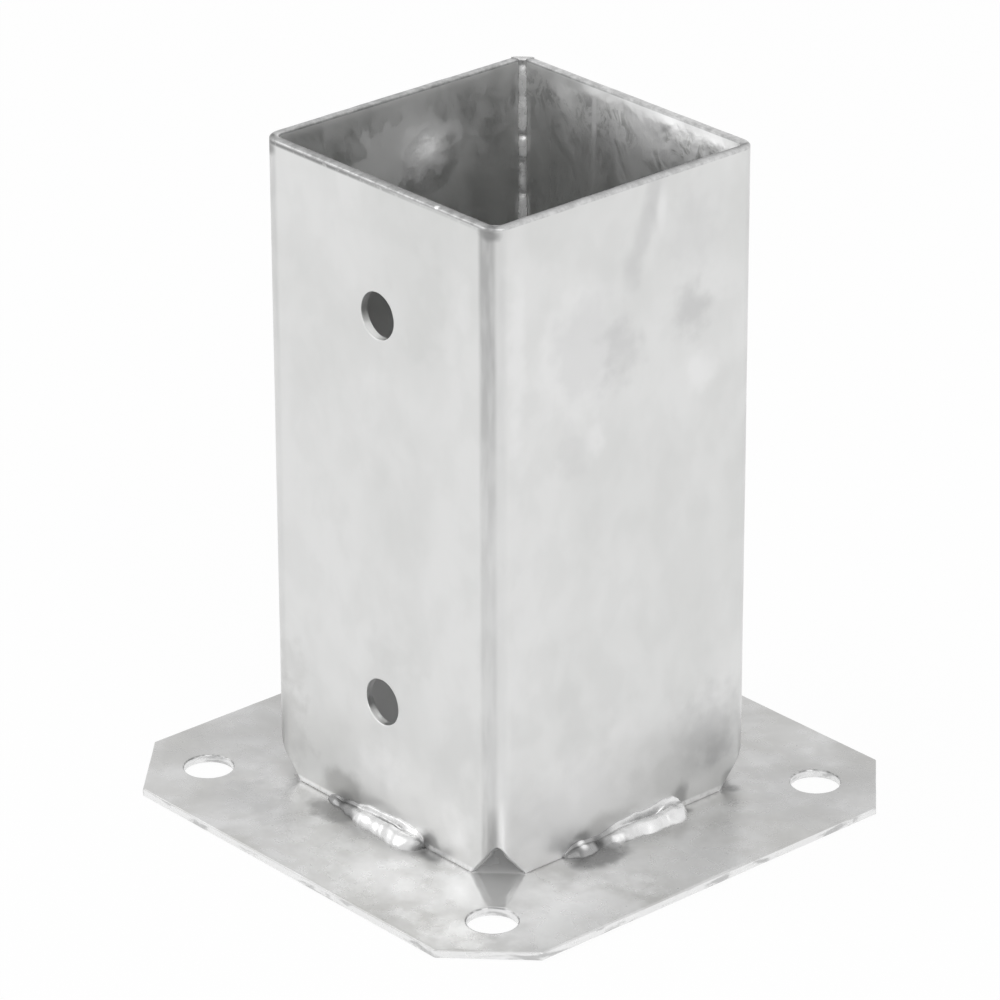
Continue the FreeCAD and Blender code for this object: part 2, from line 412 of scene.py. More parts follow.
def build_plate():
    """Square plate with cut corners, four anchor holes and a rolled upper edge."""
    s = plate_settings()
    side = PLATE_SIDE / 2
    cut = side - s.corner_cut
    corners = [Vector(c) for c in (
        (-cut, -side), (cut, -side), (side, -cut), (side, cut),
        (cut, side), (-cut, side), (-side, cut), (-side, -cut),
    )]
    outline = []
    for p in divided(corners, 0.6):
        wave = 0.05 * ripple_noise((p.x, p.y, 0), 6.0, 4) - 0.05
        outline.append(p + p.normalized() * wave)
    reach = s.hole_spacing / 2
    holes = []
    for sx in (-1, 1):
        for sy in (-1, 1):
            centre = Vector((sx * reach, sy * reach))
            shaped = []
            for p in ring(centre, s.hole_radius, 64):
                away = p - centre
                lift = 0.06 * ripple_noise((away.x, away.y, sx + 2 * sy), 2.5, 8)
                shaped.append(p + away.normalized() * lift)
            holes.append(shaped)
    inner_points = []
    count = round(PLATE_SIDE / s.grid)
    for i in range(1, count):
        for j in range(1, count):
            shift = 0.5 if j % 2 else 0.0
            p = Vector((-side + PLATE_SIDE * (i + shift) / count, -side + PLATE_SIDE * j / count))
            if max(abs(p.x), abs(p.y)) > side - 1.6 or abs(p.x) + abs(p.y) > side + cut - 2.2:
                continue
            if (Vector((abs(p.x), abs(p.y))) - Vector((reach, reach))).length < s.hole_radius + 1.7:
                continue
            inner_points.append(p)

    def roll_at(point):
        if (Vector((abs(point.x), abs(point.y))) - Vector((reach, reach))).length < s.hole_radius + 1:
            return 0.45, 0.3
        return s.edge_roll, 0.3

    def place(point, depth):
        wave = s.waviness * ripple_noise((point.x, point.y, 0), 16.0, 3)
        share = 1 - depth / PLATE_THICKNESS
        near = max(abs(point.x), abs(point.y))
        fade = min(1.0, max(0.0, (near - SLEEVE_OUTER / 2 - 4) / 6), max(0.0, (side - near) / 4))
        if near < SLEEVE_OUTER / 2 - 6:
            fade = 1.0
        return (point.x, point.y, max(0.0, PLATE_THICKNESS - depth + (wave - s.waviness) * share * fade))

    return sheet_mesh([outline] + holes, inner_points, PLATE_THICKNESS, roll_at, place)


# ---- welds -----------------------------------------------------------------------

FACE = (
    (0.00, 1.00, 0.0), (0.09, 0.95, 0.0), (0.20, 0.80, 0.8), (0.32, 0.76, 1.0), (0.46, 0.74, 0.3),
    (0.64, 0.62, 0.0), (0.82, 0.40, 0.0), (0.95, 0.16, 0.0), (1.00, 0.00, 0.0),
)

BEADS = (
    ("front", 32.0, 0.03, 0.50, 0.4, 0, -2.2,
     ((0, 0.38), (5, 0.50), (9, 0.66), (14, 0.95), (20, 1.00), (27, 1.20), (32, 1.05)),
     ((4.8, 0.35, -0.9, 1.3), (9.5, 0.75, 0.25, 1.4), (14.5, 0.70, 0.3, 2.2), (23.5, 0.75, 0.25, 3.2))),
    ("right", 35.0, 0.06, 0.42, 1.9, 1, -0.5,
     ((0, 0.45), (3, 0.70), (7, 0.72), (11, 0.66), (16, 0.92), (22, 1.05), (30, 1.22), (35, 0.90)),
     ((4.7, 0.25, 0.8, 1.1), (9.4, 0.60, -1.1, 1.5), (12.5, 0.95, -0.7, 1.6), (18.0, 0.80, 0.35, 1.6),
      (20.8, 0.15, 0.35, 1.5), (23.0, 0.85, 0.3, 1.8), (28.0, 0.70, 0.4, 2.6), (29.0, 0.15, 0.4, 1.6),
      (31.6, 0.45, -0.4, 1.2))),
    ("back", 33.0, 0.06, 0.35, 3.1, 2, 1.2,
     ((0, 0.60), (4, 0.85), (12, 1.00), (24, 1.08), (33, 0.90)),
     ((6.0, 0.20, 0.4, 1.8), (13.0, 0.80, 0.3, 1.8), (30.6, 0.45, -0.9, 1.4))),
    ("left", 34.0, 0.06, 0.38, 5.0, 3, -1.0,
     ((0, 0.55), (4, 0.80), (14, 1.02), (26, 1.05), (34, 0.85)),
     ((2.8, 0.45, -0.8, 1.4), (14.0, 0.15, 0.5, 2.0), (21.0, 0.80, 0.3, 2.2))),
)


def along_knots(knots, distance):
    """Smooth value between (distance, value) pairs."""
    for (a, low), (b, high) in zip(knots, knots[1:]):
        if distance <= b:
            t = (distance - a) / (b - a)
            return low + (high - low) * t * t * (3 - 2 * t)
    return knots[-1][1]


def face_point(share):
    """Smooth bead face at a share of the way from wall toe to plate toe: out, up, groove pull."""
    spot = share * (len(FACE) - 1)
    index = min(int(spot), len(FACE) - 2)
    t = spot - index
    p = [FACE[max(0, min(len(FACE) - 1, index + k))] for k in (-1, 0, 1, 2)]
    out = []
    for axis in range(3):
        a, b, c, d = (q[axis] for q in p)
        out.append(0.5 * (2 * b + (c - a) * t + (2 * a - 5 * b + 4 * c - d) * t * t
                          + (3 * b - a - 3 * c + d) * t * t * t))
    return out


def build_fillet(bead):
    """One fillet bead at the foot of a face, with ripples, pits and lumps."""
    s = weld_settings()
    name, length, uneven, groove, phase, quarter, shift, knots, spots = bead
    across = 36
    steps = round(length / s.station)
    half = SLEEVE_OUTER / 2
    turn = Matrix.Rotation(math.pi / 2 * quarter, 3, "Z")
    points, faces = [], []

    def put(x, y, z):
        points.append(turn @ Vector((x + shift, y - half, z + PLATE_THICKNESS)))

    for index in range(steps + 1):
        distance = length * index / steps
        edge = min(distance, length - distance)
        size = 0.16 + 0.84 * math.sqrt(max(0.0, 1 - (1 - min(1.0, edge / s.taper)) ** 2))
        size *= along_knots(knots, distance)
        sway = uneven * math.sin(0.37 * distance + phase)
        swell = uneven * math.sin(0.71 * distance + 2.1 * phase)
        depth = groove * size * (1.6 + math.sin(0.23 * distance + phase)) / 2.6
        depth *= along_knots(((0, 0.15), (0.28, 0.25), (0.42, 1), (0.74, 1), (0.86, 0.2), (1, 0)), distance / length)
        station = distance - length / 2
        for k in range(across + 1):
            share = k / across
            out_share, up_share, pull = face_point(share)
            lag = 0.9 * math.sin(math.pi * share)
            ripple = 0.2 * uneven * math.sin(2 * math.pi * (distance + lag) / 2.6 + 1.4 * math.sin(distance * 0.9 + phase))
            out = out_share * s.plate_leg * size * (1 + ripple + swell)
            up = up_share * s.wall_leg * min(size, 1.08) * (1 + ripple + sway)
            grow = 1 - depth * pull
            for at, spot_share, height, radius in spots:
                a = (distance - at) / radius
                c = (out_share - spot_share) * s.plate_leg * size / radius
                grow += height / s.wall_leg * math.exp(-a * a - c * c)
            y, z = -out * grow, up * grow
            lump = s.roughness * size * (ripple_noise((station, y, z), 1.8, 11 + quarter)
                                         + 0.4 * ripple_noise((station, y, z), 0.8, 12 + quarter))
            y -= lump * (out_share + 0.1)
            z += lump * (up_share + 0.1)
            if k == 0:
                y = 0.12
            if k == across:
                z = -0.12
            put(station, min(y, 0.12), max(z, -0.12))
        put(station, 0.12, -0.12)
    row = across + 2
    for index in range(steps):
        for k in range(row):
            a = index * row + k
            b = index * row + (k + 1) % row
            faces.append((a, b, b + row, a + row))
    faces.append(tuple(reversed(range(row))))
    faces.append(tuple(range(steps * row, steps * row + row)))
    return points, faces


ROOT_RUNS = (
    (1.5, 9.0, 0.60), (8.0, 17.0, 0.68), (18.0, 22.8, 0.62), (24.0, 31.0, 0.34), (31.5, 39.0, 0.74),
    (43.0, 60.0, 0.50), (64.0, 78.0, 0.62), (84.0, 104.0, 0.45), (110.0, 122.0, 0.60), (125.0, 138.0, 0.50),
)


def build_seam():
    """Corner seam: rippled cap outside, uneven root runs inside."""
    s = sleeve_settings()
    half = SLEEVE_OUTER / 2
    stop, inn = half - s.seam_gap, half - s.gauge
    foot = PLATE_THICKNESS
    steps = round((RIM_HEIGHT - foot) / 0.4)
    points, faces = [], []
    wide, deep = 14, 14
    row = wide + 1 + deep + 1

    for index in range(steps + 1):
        height = foot + (RIM_HEIGHT - foot) * index / steps
        below = RIM_HEIGHT - height
        ripple = 0.10 * math.sin(2 * math.pi * height / 1.9 + 0.7 * math.sin(height * 0.6))
        ripple += 0.12 * math.sin(2 * math.pi * height / 5.0)
        trim = min(1.0, 0.05 + below / 3.0)
        for k in range(wide + 1):
            share = k / wide
            bulge = (0.45 + ripple) * (1 - (2 * share - 1) ** 2) / math.sqrt(2) * trim
            bulge += 0.05 * ripple_noise((share * 4, 0, height), 1.2, 21) * (1 - (2 * share - 1) ** 2)
            lap = 0.5 * (abs(2 * share - 1) ** 6)
            side = 1 if share > 0.5 else -1
            x = -stop - s.seam_gap * share - bulge
            y = half - s.seam_gap * share + bulge
            if share < 0.5:
                x += lap
                y += 0.02 * (1 if share > 0 else -6)
            else:
                y -= lap
                x -= 0.02 * (1 if share < 1 else -6)
            points.append((x, y, height))
        root = 0.08
        for start, end, bulge in ROOT_RUNS:
            share = (below - (start + end) / 2) / ((end - start) / 2)
            if abs(share) < 1:
                root = max(root, bulge * math.sqrt(1 - share ** 2))
        lump = 1 + 0.30 * ripple_noise((0, 0, height), 2.2, 22)
        toe = 0.40 * root * lump
        toes = [max(0.02, toe * (1 + 0.55 * ripple_noise((0, 0, height), 1.7, seed))) for seed in (31, 32)]
        middle = (stop + inn) / 2
        tip = middle - root * lump / math.sqrt(2)
        for k in range(deep + 1):
            share = k / deep
            # from the -X wall's inner face round the root to the +Y wall's inner face
            a = Vector((-inn, stop - toes[0]))
            b = Vector((-tip, tip))
            c = Vector((-stop + toes[1], inn))
            if share < 0.5:
                t = share * 2
                p = a.lerp(b, t) + Vector((1, -0.2)) * 0.16 * root * math.sin(math.pi * t)
            else:
                t = share * 2 - 1
                p = b.lerp(c, t) + Vector((0.2, -1)) * 0.16 * root * math.sin(math.pi * t)
            if k in (0, deep):
                p += Vector((-0.1, 0.1))
            grain = 0.03 * root * ripple_noise((p.x, p.y, height), 1.2, 24)
            points.append((p.x + grain, p.y - grain, height))
    # trim the foot to the notch: rows below the notch follow its planes
    for index in range(steps + 1):
        for k in range(row):
            i = index * row + k
            x, y, z = points[i]
            least = notch_edge(x, y)
            span = 20.0
            if z < foot + span:
                points[i] = (x, y, least + (z - foot) * (foot + span - least) / span)
    for index in range(steps):
        for k in range(row):
            a = index * row + k
            b = index * row + (k + 1) % row
            faces.append((a, a + row, b + row, b))
    faces.append(tuple(range(row)))
    faces.append(tuple(reversed(range(steps * row, steps * row + row))))
    return points, faces


# ---- node helpers ------------------------------------------------------------------

def add(tree, kind, inputs=None, **settings):
    """Adds a node, sets its properties, and sets or links its inputs."""
    node = tree.nodes.new(kind)
    for name, value in settings.items():
        setattr(node, name, value)
    for key, value in (inputs or {}).items():
        if isinstance(value, bpy.types.NodeSocket):
            tree.links.new(value, node.inputs[key])
        else:
            node.inputs[key].default_value = value
    return node


def calc(tree, operation, a, b=0.0, clamp=False):
    """Output of a Math node."""
    return add(tree, "ShaderNodeMath", {0: a, 1: b}, operation=operation, use_clamp=clamp).outputs[0]


def fit(tree, value, low, high, to_low=0.0, to_high=1.0, smooth=True):
    """Output of a clamped Map Range node."""
    kind = "SMOOTHSTEP" if smooth else "LINEAR"
    node = add(tree, "ShaderNodeMapRange", {"Value": value, "From Min": low, "From Max": high,
                                            "To Min": to_low, "To Max": to_high}, interpolation_type=kind)
    return node.outputs["Result"]


def blend_colour(tree, factor, a, b, mode="MIX"):
    """Output of a colour Mix node."""
    node = add(tree, "ShaderNodeMix", {"Factor": factor, 6: a, 7: b}, data_type="RGBA", blend_type=mode)
    return node.outputs[2]


def noise_out(tree, vector, scale, detail=3.0, rough=0.5, distortion=0.0):
    node = add(tree, "ShaderNodeTexNoise", {"Vector": vector, "Scale": scale, "Detail": detail,
                                            "Roughness": rough, "Distortion": distortion})
    return node.outputs[0]


def new_group(name, inputs, outputs):
    """Empty shader node group with float inputs (name, default) and outputs."""
    tree = bpy.data.node_groups.new(name, "ShaderNodeTree")
    for title, default in inputs:
        kind = "NodeSocketVector" if isinstance(default, tuple) else "NodeSocketFloat"
        socket = tree.interface.new_socket(title, in_out="INPUT", socket_type=kind)
        socket.default_value = default
    for title in outputs:
        tree.interface.new_socket(title, in_out="OUTPUT", socket_type="NodeSocketFloat")
    return tree, tree.nodes.new("NodeGroupInput"), tree.nodes.new("NodeGroupOutput")


def use(tree, group, inputs):
    """Places a node group in a material."""
    node = tree.nodes.new("ShaderNodeGroup")
    node.node_tree = bpy.data.node_groups[group]
    for key, value in inputs.items():
        if isinstance(value, bpy.types.NodeSocket):
            tree.links.new(value, node.inputs[key])
        else:
            node.inputs[key].default_value = value
    return node


def position(tree, scale=(1, 1, 1), offset=(0, 0, 0)):
    """Object coordinates in millimetres, scaled and moved."""
    coords = add(tree, "ShaderNodeTexCoord")
    node = add(tree, "ShaderNodeMapping", {"Vector": coords.outputs["Object"], "Location": offset,
                                           "Scale": tuple(1000 * c for c in scale)})
    return node.outputs["Vector"]


# ---- shared effects ----------------------------------------------------------------

def group_zinc_clouds():
    """Cloudy dull and bright patches that molten zinc leaves, and the fine grain in them."""
    tree, given, out = new_group("Zinc Clouds", (("Size", 30.0), ("Stretch", 0.5), ("Seed", 0.0)),
                                 ("Cloud", "Patch", "Grain"))
    where = position(tree)
    seed = add(tree, "ShaderNodeCombineXYZ", {0: given.outputs["Seed"], 1: given.outputs["Seed"], 2: 0.0})
    stretch = add(tree, "ShaderNodeCombineXYZ", {0: 1.0, 1: 1.0, 2: given.outputs["Stretch"]})
    moved = add(tree, "ShaderNodeVectorMath", {0: where, 1: stretch.outputs[0]}, operation="MULTIPLY").outputs[0]
    moved = add(tree, "ShaderNodeVectorMath", {0: moved, 1: given.outputs["Size"]}, operation="DIVIDE")
    size = add(tree, "ShaderNodeCombineXYZ", {0: given.outputs["Size"], 1: given.outputs["Size"],
                                              2: given.outputs["Size"]})
    tree.links.new(size.outputs[0], moved.inputs[1])
    moved = add(tree, "ShaderNodeVectorMath", {0: moved.outputs[0], 1: seed.outputs[0]}, operation="ADD").outputs[0]
    broad = noise_out(tree, moved, 1.0, 3.0, 0.5, 0.4)
    patch = noise_out(tree, moved, 3.1, 3.0, 0.5, 0.2)
    grain = noise_out(tree, moved, 34.0, 3.0, 0.6)
    tree.links.new(fit(tree, broad, 0.34, 0.68), out.inputs["Cloud"])
    tree.links.new(fit(tree, patch, 0.36, 0.66), out.inputs["Patch"])
    tree.links.new(grain, out.inputs["Grain"])


def group_spot():
    """Soft oval mark at a place, with a ragged edge."""
    tree, given, out = new_group("Soft Spot", (("Centre", (0.0, 0.0, 0.0)), ("Reach", (10.0, 10.0, 10.0)),
                                               ("Ragged", 0.4), ("Softness", 0.6), ("Edge Noise", 0.5)), ("Mask",))
    where = position(tree)
    away = add(tree, "ShaderNodeVectorMath", {0: where, 1: given.outputs["Centre"]}, operation="SUBTRACT")
    share = add(tree, "ShaderNodeVectorMath", {0: away.outputs[0], 1: given.outputs["Reach"]}, operation="DIVIDE")
    far = add(tree, "ShaderNodeVectorMath", {0: share.outputs[0]}, operation="LENGTH").outputs["Value"]
    rag = calc(tree, "SUBTRACT", given.outputs["Edge Noise"], 0.5)
    rag = calc(tree, "MULTIPLY", rag, given.outputs["Ragged"])
    far = calc(tree, "ADD", far, calc(tree, "MULTIPLY", rag, 2.0))
    near = calc(tree, "SUBTRACT", 1.0, given.outputs["Softness"])
    node = add(tree, "ShaderNodeMapRange", {"Value": far, "From Min": 1.0, "From Max": near},
               interpolation_type="SMOOTHSTEP")
    tree.links.new(node.outputs["Result"], out.inputs["Mask"])


def group_skin():
    """Height of the zinc skin: gentle waves, orange peel and fine grain."""
    tree, given, out = new_group("Zinc Skin", (("Wave", 1.0), ("Peel", 1.0), ("Grain", 1.0)), ("Height",))
    where = position(tree)
    wave = calc(tree, "MULTIPLY", noise_out(tree, where, 0.07, 2.0), given.outputs["Wave"])
    peel = calc(tree, "MULTIPLY", noise_out(tree, where, 0.45, 2.0, 0.45), given.outputs["Peel"])
    grain = calc(tree, "MULTIPLY", noise_out(tree, where, 3.2, 3.0, 0.6), given.outputs["Grain"])
    total = calc(tree, "ADD", calc(tree, "ADD", wave, peel), grain)
    tree.links.new(total, out.inputs["Height"])


def group_fold():
    """Masks of a square sleeve: the two sides of its folds, its inner walls, and the depth below its rim."""
    tree, given, out = new_group("Sleeve Zones", (("Half Width", 37.0), ("Gauge", 2.0), ("Fold Start", 33.2),
                                                  ("Widening", 1.5), ("Rim Height", 152.0)),
                                 ("Fold", "Far Side", "Inside", "Across", "Depth"))
    axes = add(tree, "ShaderNodeSeparateXYZ", {0: position(tree)})
    x = calc(tree, "ABSOLUTE", axes.outputs[0])
    y = calc(tree, "ABSOLUTE", axes.outputs[1])
    near = calc(tree, "MINIMUM", x, y)
    far = calc(tree, "MAXIMUM", x, y)
    fold = add(tree, "ShaderNodeMapRange", {"Value": near, "From Min": given.outputs["Fold Start"]},
               interpolation_type="SMOOTHSTEP")
    tree.links.new(calc(tree, "ADD", given.outputs["Fold Start"], 1.5), fold.inputs["From Max"])
    # which side of the fold's middle: below 0 next to the faces across Y, above 0 next to those across X
    turn = calc(tree, "SUBTRACT", x, y)
    side = fit(tree, turn, -0.6, 1.0)
    widened = calc(tree, "ADD", near, calc(tree, "MULTIPLY", calc(tree, "SUBTRACT", 1.0, side), given.outputs["Widening"]))
    tree.links.new(widened, fold.inputs["Value"])
    skin = calc(tree, "SUBTRACT", given.outputs["Half Width"], calc(tree, "MULTIPLY", given.outputs["Gauge"], 0.5))
    # the inner skin bends at a smaller radius, so a corner point is compared along the diagonal
    diagonal = calc(tree, "MULTIPLY", calc(tree, "ADD", x, y), 0.5)
    reach = calc(tree, "MAXIMUM", far, calc(tree, "ADD", diagonal, 1.0))
    inside = calc(tree, "LESS_THAN", reach, skin)
    tree.links.new(fold.outputs["Result"], out.inputs["Fold"])
    tree.links.new(side, out.inputs["Far Side"])
    tree.links.new(calc(tree, "SUBTRACT", far, calc(tree, "SUBTRACT", given.outputs["Half Width"], given.outputs["Gauge"])),
                   out.inputs["Across"])
    tree.links.new(inside, out.inputs["Inside"])
    tree.links.new(calc(tree, "SUBTRACT", given.outputs["Rim Height"], axes.outputs[2]), out.inputs["Depth"])


def group_feathers():
    """Ragged patches and leaning runs that drained zinc and flux leave below an edge, fading with depth."""
    tree, given, out = new_group("Drain Feathers", (("Depth", 0.0), ("Length", 30.0), ("Lean", 0.4), ("Seed", 0.0)),
                                 ("Mask",))
    where = position(tree)
    axes = add(tree, "ShaderNodeSeparateXYZ", {0: where})
    lean = calc(tree, "MULTIPLY", axes.outputs[2], given.outputs["Lean"])
    u = calc(tree, "ADD", calc(tree, "ADD", axes.outputs[0], axes.outputs[1]), lean)
    u = calc(tree, "ADD", u, calc(tree, "MULTIPLY", noise_out(tree, where, 0.09, 3.0), 12.0))
    flat = add(tree, "ShaderNodeCombineXYZ", {0: u, 1: given.outputs["Seed"],
                                              2: calc(tree, "MULTIPLY", axes.outputs[2], 0.17)})
    share = calc(tree, "DIVIDE", given.outputs["Depth"], given.outputs["Length"])
    # leaning runs, each ending at its own depth
    runs = fit(tree, noise_out(tree, flat.outputs[0], 0.36, 5.0, 0.62, 0.8), 0.46, 0.62)
    ragged = calc(tree, "MULTIPLY", noise_out(tree, flat.outputs[0], 0.2, 2.0), 1.6)
    runs = calc(tree, "MULTIPLY", runs, fit(tree, calc(tree, "SUBTRACT", share, ragged), 0.1, -0.5))
    # rough patches under the edge
    rough = noise_out(tree, where, 0.15, 6.0, 0.70, 1.2)
    rough = calc(tree, "ADD", rough, fit(tree, share, 0.16, 0.0, 0.0, 0.10))
    rough = fit(tree, rough, 0.44, 0.55)
    rough = calc(tree, "MULTIPLY", rough, fit(tree, share, 0.85, 0.1))
    tree.links.new(calc(tree, "MAXIMUM", runs, calc(tree, "MULTIPLY", rough, 0.95)), out.inputs["Mask"])


def group_hole():
    """Ring round four mirrored holes: 1 on the hole's wall, fading over the face round it."""
    tree, given, out = new_group("Hole Ring", (("Reach", 47.5), ("Radius", 5.6), ("Width", 0.5)), ("Mask",))
    axes = add(tree, "ShaderNodeSeparateXYZ", {0: position(tree)})
    sides = []
    for axis in (0, 1):
        off = calc(tree, "SUBTRACT", calc(tree, "ABSOLUTE", axes.outputs[axis]), given.outputs["Reach"])
        sides.append(calc(tree, "MULTIPLY", off, off))
    far = calc(tree, "SQRT", calc(tree, "ADD", sides[0], sides[1]))
    node = add(tree, "ShaderNodeMapRange", {"Value": far, "From Max": given.outputs["Radius"]},
               interpolation_type="SMOOTHSTEP")
    tree.links.new(calc(tree, "ADD", given.outputs["Radius"], given.outputs["Width"]), node.inputs["From Min"])
    tree.links.new(node.outputs["Result"], out.inputs["Mask"])


def start_material(name, metallic):
    material = bpy.data.materials.new(name)
    material.use_nodes = True
    tree = material.node_tree
    shader = tree.nodes["Principled BSDF"]
    shader.inputs["Metallic"].default_value = metallic
    return material, tree, shader


def finish_surface(tree, shader, colour, rough, height, strength, distance):
    """Links colour, roughness and a bump height into the shader."""
    tree.links.new(colour, shader.inputs["Base Color"])
    tree.links.new(rough, shader.inputs["Roughness"])
    bump = add(tree, "ShaderNodeBump", {"Height": height, "Strength": strength, "Distance": distance})
    tree.links.new(bump.outputs[0], shader.inputs["Normal"])


def spot_mask(tree, centre, reach, ragged, softness):
    """Mask of one soft mark; all marks of a material share one noise for their ragged edges."""
    if "Edge Noise" not in tree.nodes:
        noise_out(tree, position(tree), 0.22, 3.0).node.name = "Edge Noise"
    spot = use(tree, "Soft Spot", {"Centre": centre, "Reach": reach, "Ragged": ragged, "Softness": softness,
                                   "Edge Noise": tree.nodes["Edge Noise"].outputs[0]})
    return spot.outputs["Mask"]


def spotted(tree, colour, marks):
    """Mixes soft marks into a colour. A mark: centre, reach, raggedness, softness, strength, colour."""
    for centre, reach, ragged, softness, strength, tint in marks:
        factor = calc(tree, "MULTIPLY", spot_mask(tree, centre, reach, ragged, softness), strength)
        colour = blend_colour(tree, factor, colour, tint)
    return colour


def grey(value, warm=0.0):
    return (value * (1 + warm), value * (1 + 0.6 * warm), value * (1 - warm), 1)


def sleeve_material():
    """Galvanised sheet of the sleeve."""
    f = finish_settings()
    s = sleeve_settings()
    material, tree, shader = start_material("sleeve_zinc", 0.9)
    clouds = use(tree, "Zinc Clouds", {"Size": 24.0, "Stretch": 0.7, "Seed": float(f.seed)})
    light, dull = tuple(f.zinc_light), tuple(f.zinc_dull)
    colour = blend_colour(tree, calc(tree, "MULTIPLY", clouds.outputs["Cloud"], 0.50), light, dull)
    colour = blend_colour(tree, calc(tree, "MULTIPLY", clouds.outputs["Patch"], 0.20), colour, dull)
    colour = spotted(tree, colour, (
        # front face: dull clouds beside the upper hole, mottled foot corner, light patches at the foot
        ((17.0, -37.0, 132.0), (6.0, 3.0, 15.0), 1.0, 0.9, 0.50, dull),
        ((8.0, -37.0, 142.0), (8.0, 3.0, 5.0), 1.0, 0.9, 0.35, dull),
        ((12.0, -37.0, 119.0), (9.0, 3.0, 6.0), 1.0, 0.9, 0.35, dull),
        ((27.0, -37.0, 132.0), (5.0, 3.0, 9.0), 0.7, 0.9, 0.45, grey(0.82)),
        ((3.0, -37.0, 44.0), (12.0, 3.0, 6.0), 1.2, 0.9, 0.40, dull),
        ((-33.0, -37.0, 14.0), (11.0, 4.0, 16.0), 0.9, 0.8, 0.60, grey(0.56, 0.01)),
        ((-30.0, -37.0, 30.0), (7.0, 4.0, 10.0), 1.3, 0.9, 0.40, grey(0.60, 0.01)),
        ((-2.0, -37.0, 17.0), (9.0, 3.0, 6.0), 0.9, 0.8, 0.45, grey(0.88)),
        ((12.0, -37.0, 12.0), (28.0, 3.0, 16.0), 0.2, 0.9, 0.40, grey(0.92)),
        ((24.0, -37.0, 10.0), (8.0, 3.0, 9.0), 0.9, 0.9, 0.50, grey(0.88)),
        # burnt zinc over the two ends of the front bead
        ((-13.0, -37.0, 5.8), (10.0, 3.0, 6.0), 0.35, 0.6, 0.72, grey(0.40, 0.01)),
        ((-12.4, -37.0, 3.5), (4.0, 3.0, 2.5), 0.4, 0.8, 0.50, grey(0.24)),
        ((-1.0, -37.0, 6.3), (13.0, 3.0, 2.6), 0.4, 0.8, 0.45, grey(0.46)),
        ((15.4, -37.0, 2.8), (4.2, 3.0, 5.0), 0.3, 0.6, 0.70, grey(0.32)),
        # right face: slanted drain mark, ring, dull and light patches
        ((37.0, 7.6, 150.0), (3.0, 3.6, 7.0), 0.25, 0.8, 0.55, grey(0.57)),
        ((37.0, 5.8, 144.5), (3.0, 3.4, 7.0), 0.25, 0.8, 0.55, grey(0.57)),
        ((37.0, 3.6, 139.0), (3.0, 3.4, 7.0), 0.25, 0.8, 0.50, grey(0.57)),
        ((37.0, 1.4, 133.5), (3.0, 4.0, 7.0), 0.35, 0.9, 0.55, grey(0.57)),
        ((37.0, 9.5, 145.0), (3.0, 2.0, 8.0), 0.30, 0.8, 0.40, grey(0.88)),
        ((37.0, -13.5, 119.0), (3.0, 14.0, 17.5), 0.30, 0.35, 0.36, grey(0.86)),
        ((37.0, -11.5, 119.0), (3.0, 12.0, 15.0), 0.45, 0.50, 0.50, grey(0.68)),
        ((37.0, -2.2, 116.5), (3.0, 8.0, 11.0), 0.7, 0.9, 0.60, grey(0.58)),
        ((37.0, 17.8, 119.0), (3.0, 7.5, 9.0), 0.7, 0.9, 0.65, grey(0.56)),
        ((37.0, 18.0, 138.0), (3.0, 12.0, 14.0), 0.7, 0.9, 0.35, grey(0.62)),
        ((37.0, 21.0, 105.0), (3.0, 6.0, 7.0), 0.5, 0.8, 0.50, grey(0.86)),
        ((37.0, -31.0, 122.0), (3.0, 3.2, 30.0), 0.6, 0.8, 0.45, grey(0.86)),
        ((37.0, -9.0, 98.0), (3.0, 3.5, 8.0), 0.8, 0.9, 0.45, grey(0.86)),
        ((37.0, -16.0, 96.0), (3.0, 7.0, 9.0), 0.9, 0.9, 0.30, grey(0.62)),
        ((37.0, 25.0, 18.0), (3.0, 17.0, 13.0), 0.9, 1.0, 0.46, grey(0.50)),
        ((37.0, 27.5, 13.0), (3.0, 7.0, 5.0), 0.9, 1.0, 0.40, grey(0.46)),
        ((37.0, 22.5, 6.0), (3.0, 7.0, 4.0), 0.5, 0.9, 0.50, grey(0.90)),
        ((37.0, 31.2, 5.0), (3.0, 3.0, 3.2), 0.4, 0.7, 0.60, grey(0.36)),
        # clean foot of the right face, burnt zinc over its bead
        ((37.0, -12.0, 12.0), (3.0, 38.0, 20.0), 0.2, 0.95, 0.75, grey(0.98)),
        ((37.0, -24.0, 5.0), (3.0, 10.0, 7.0), 0.2, 0.9, 0.70, grey(1.0)),
        ((37.0, -5.0, 5.5), (3.0, 11.0, 4.6), 0.4, 0.7, 0.48, grey(0.48, 0.01)),
        ((37.0, -13.2, 4.2), (3.0, 4.2, 3.6), 0.4, 0.6, 0.66, grey(0.30)),
        ((37.0, 16.3, 4.5), (3.0, 3.4, 5.5), 0.4, 0.7, 0.70, grey(0.34)),
    ))
    zones = use(tree, "Sleeve Zones", {"Half Width": SLEEVE_OUTER / 2, "Gauge": s.gauge, "Fold Start": 33.15,
                                       "Rim Height": RIM_HEIGHT})
    depth, inside = zones.outputs["Depth"], zones.outputs["Inside"]
    outside = calc(tree, "SUBTRACT", 1.0, inside)
    where = position(tree)
    axes = add(tree, "ShaderNodeSeparateXYZ", {0: where})
    x, y, z = axes.outputs[0], axes.outputs[1], axes.outputs[2]
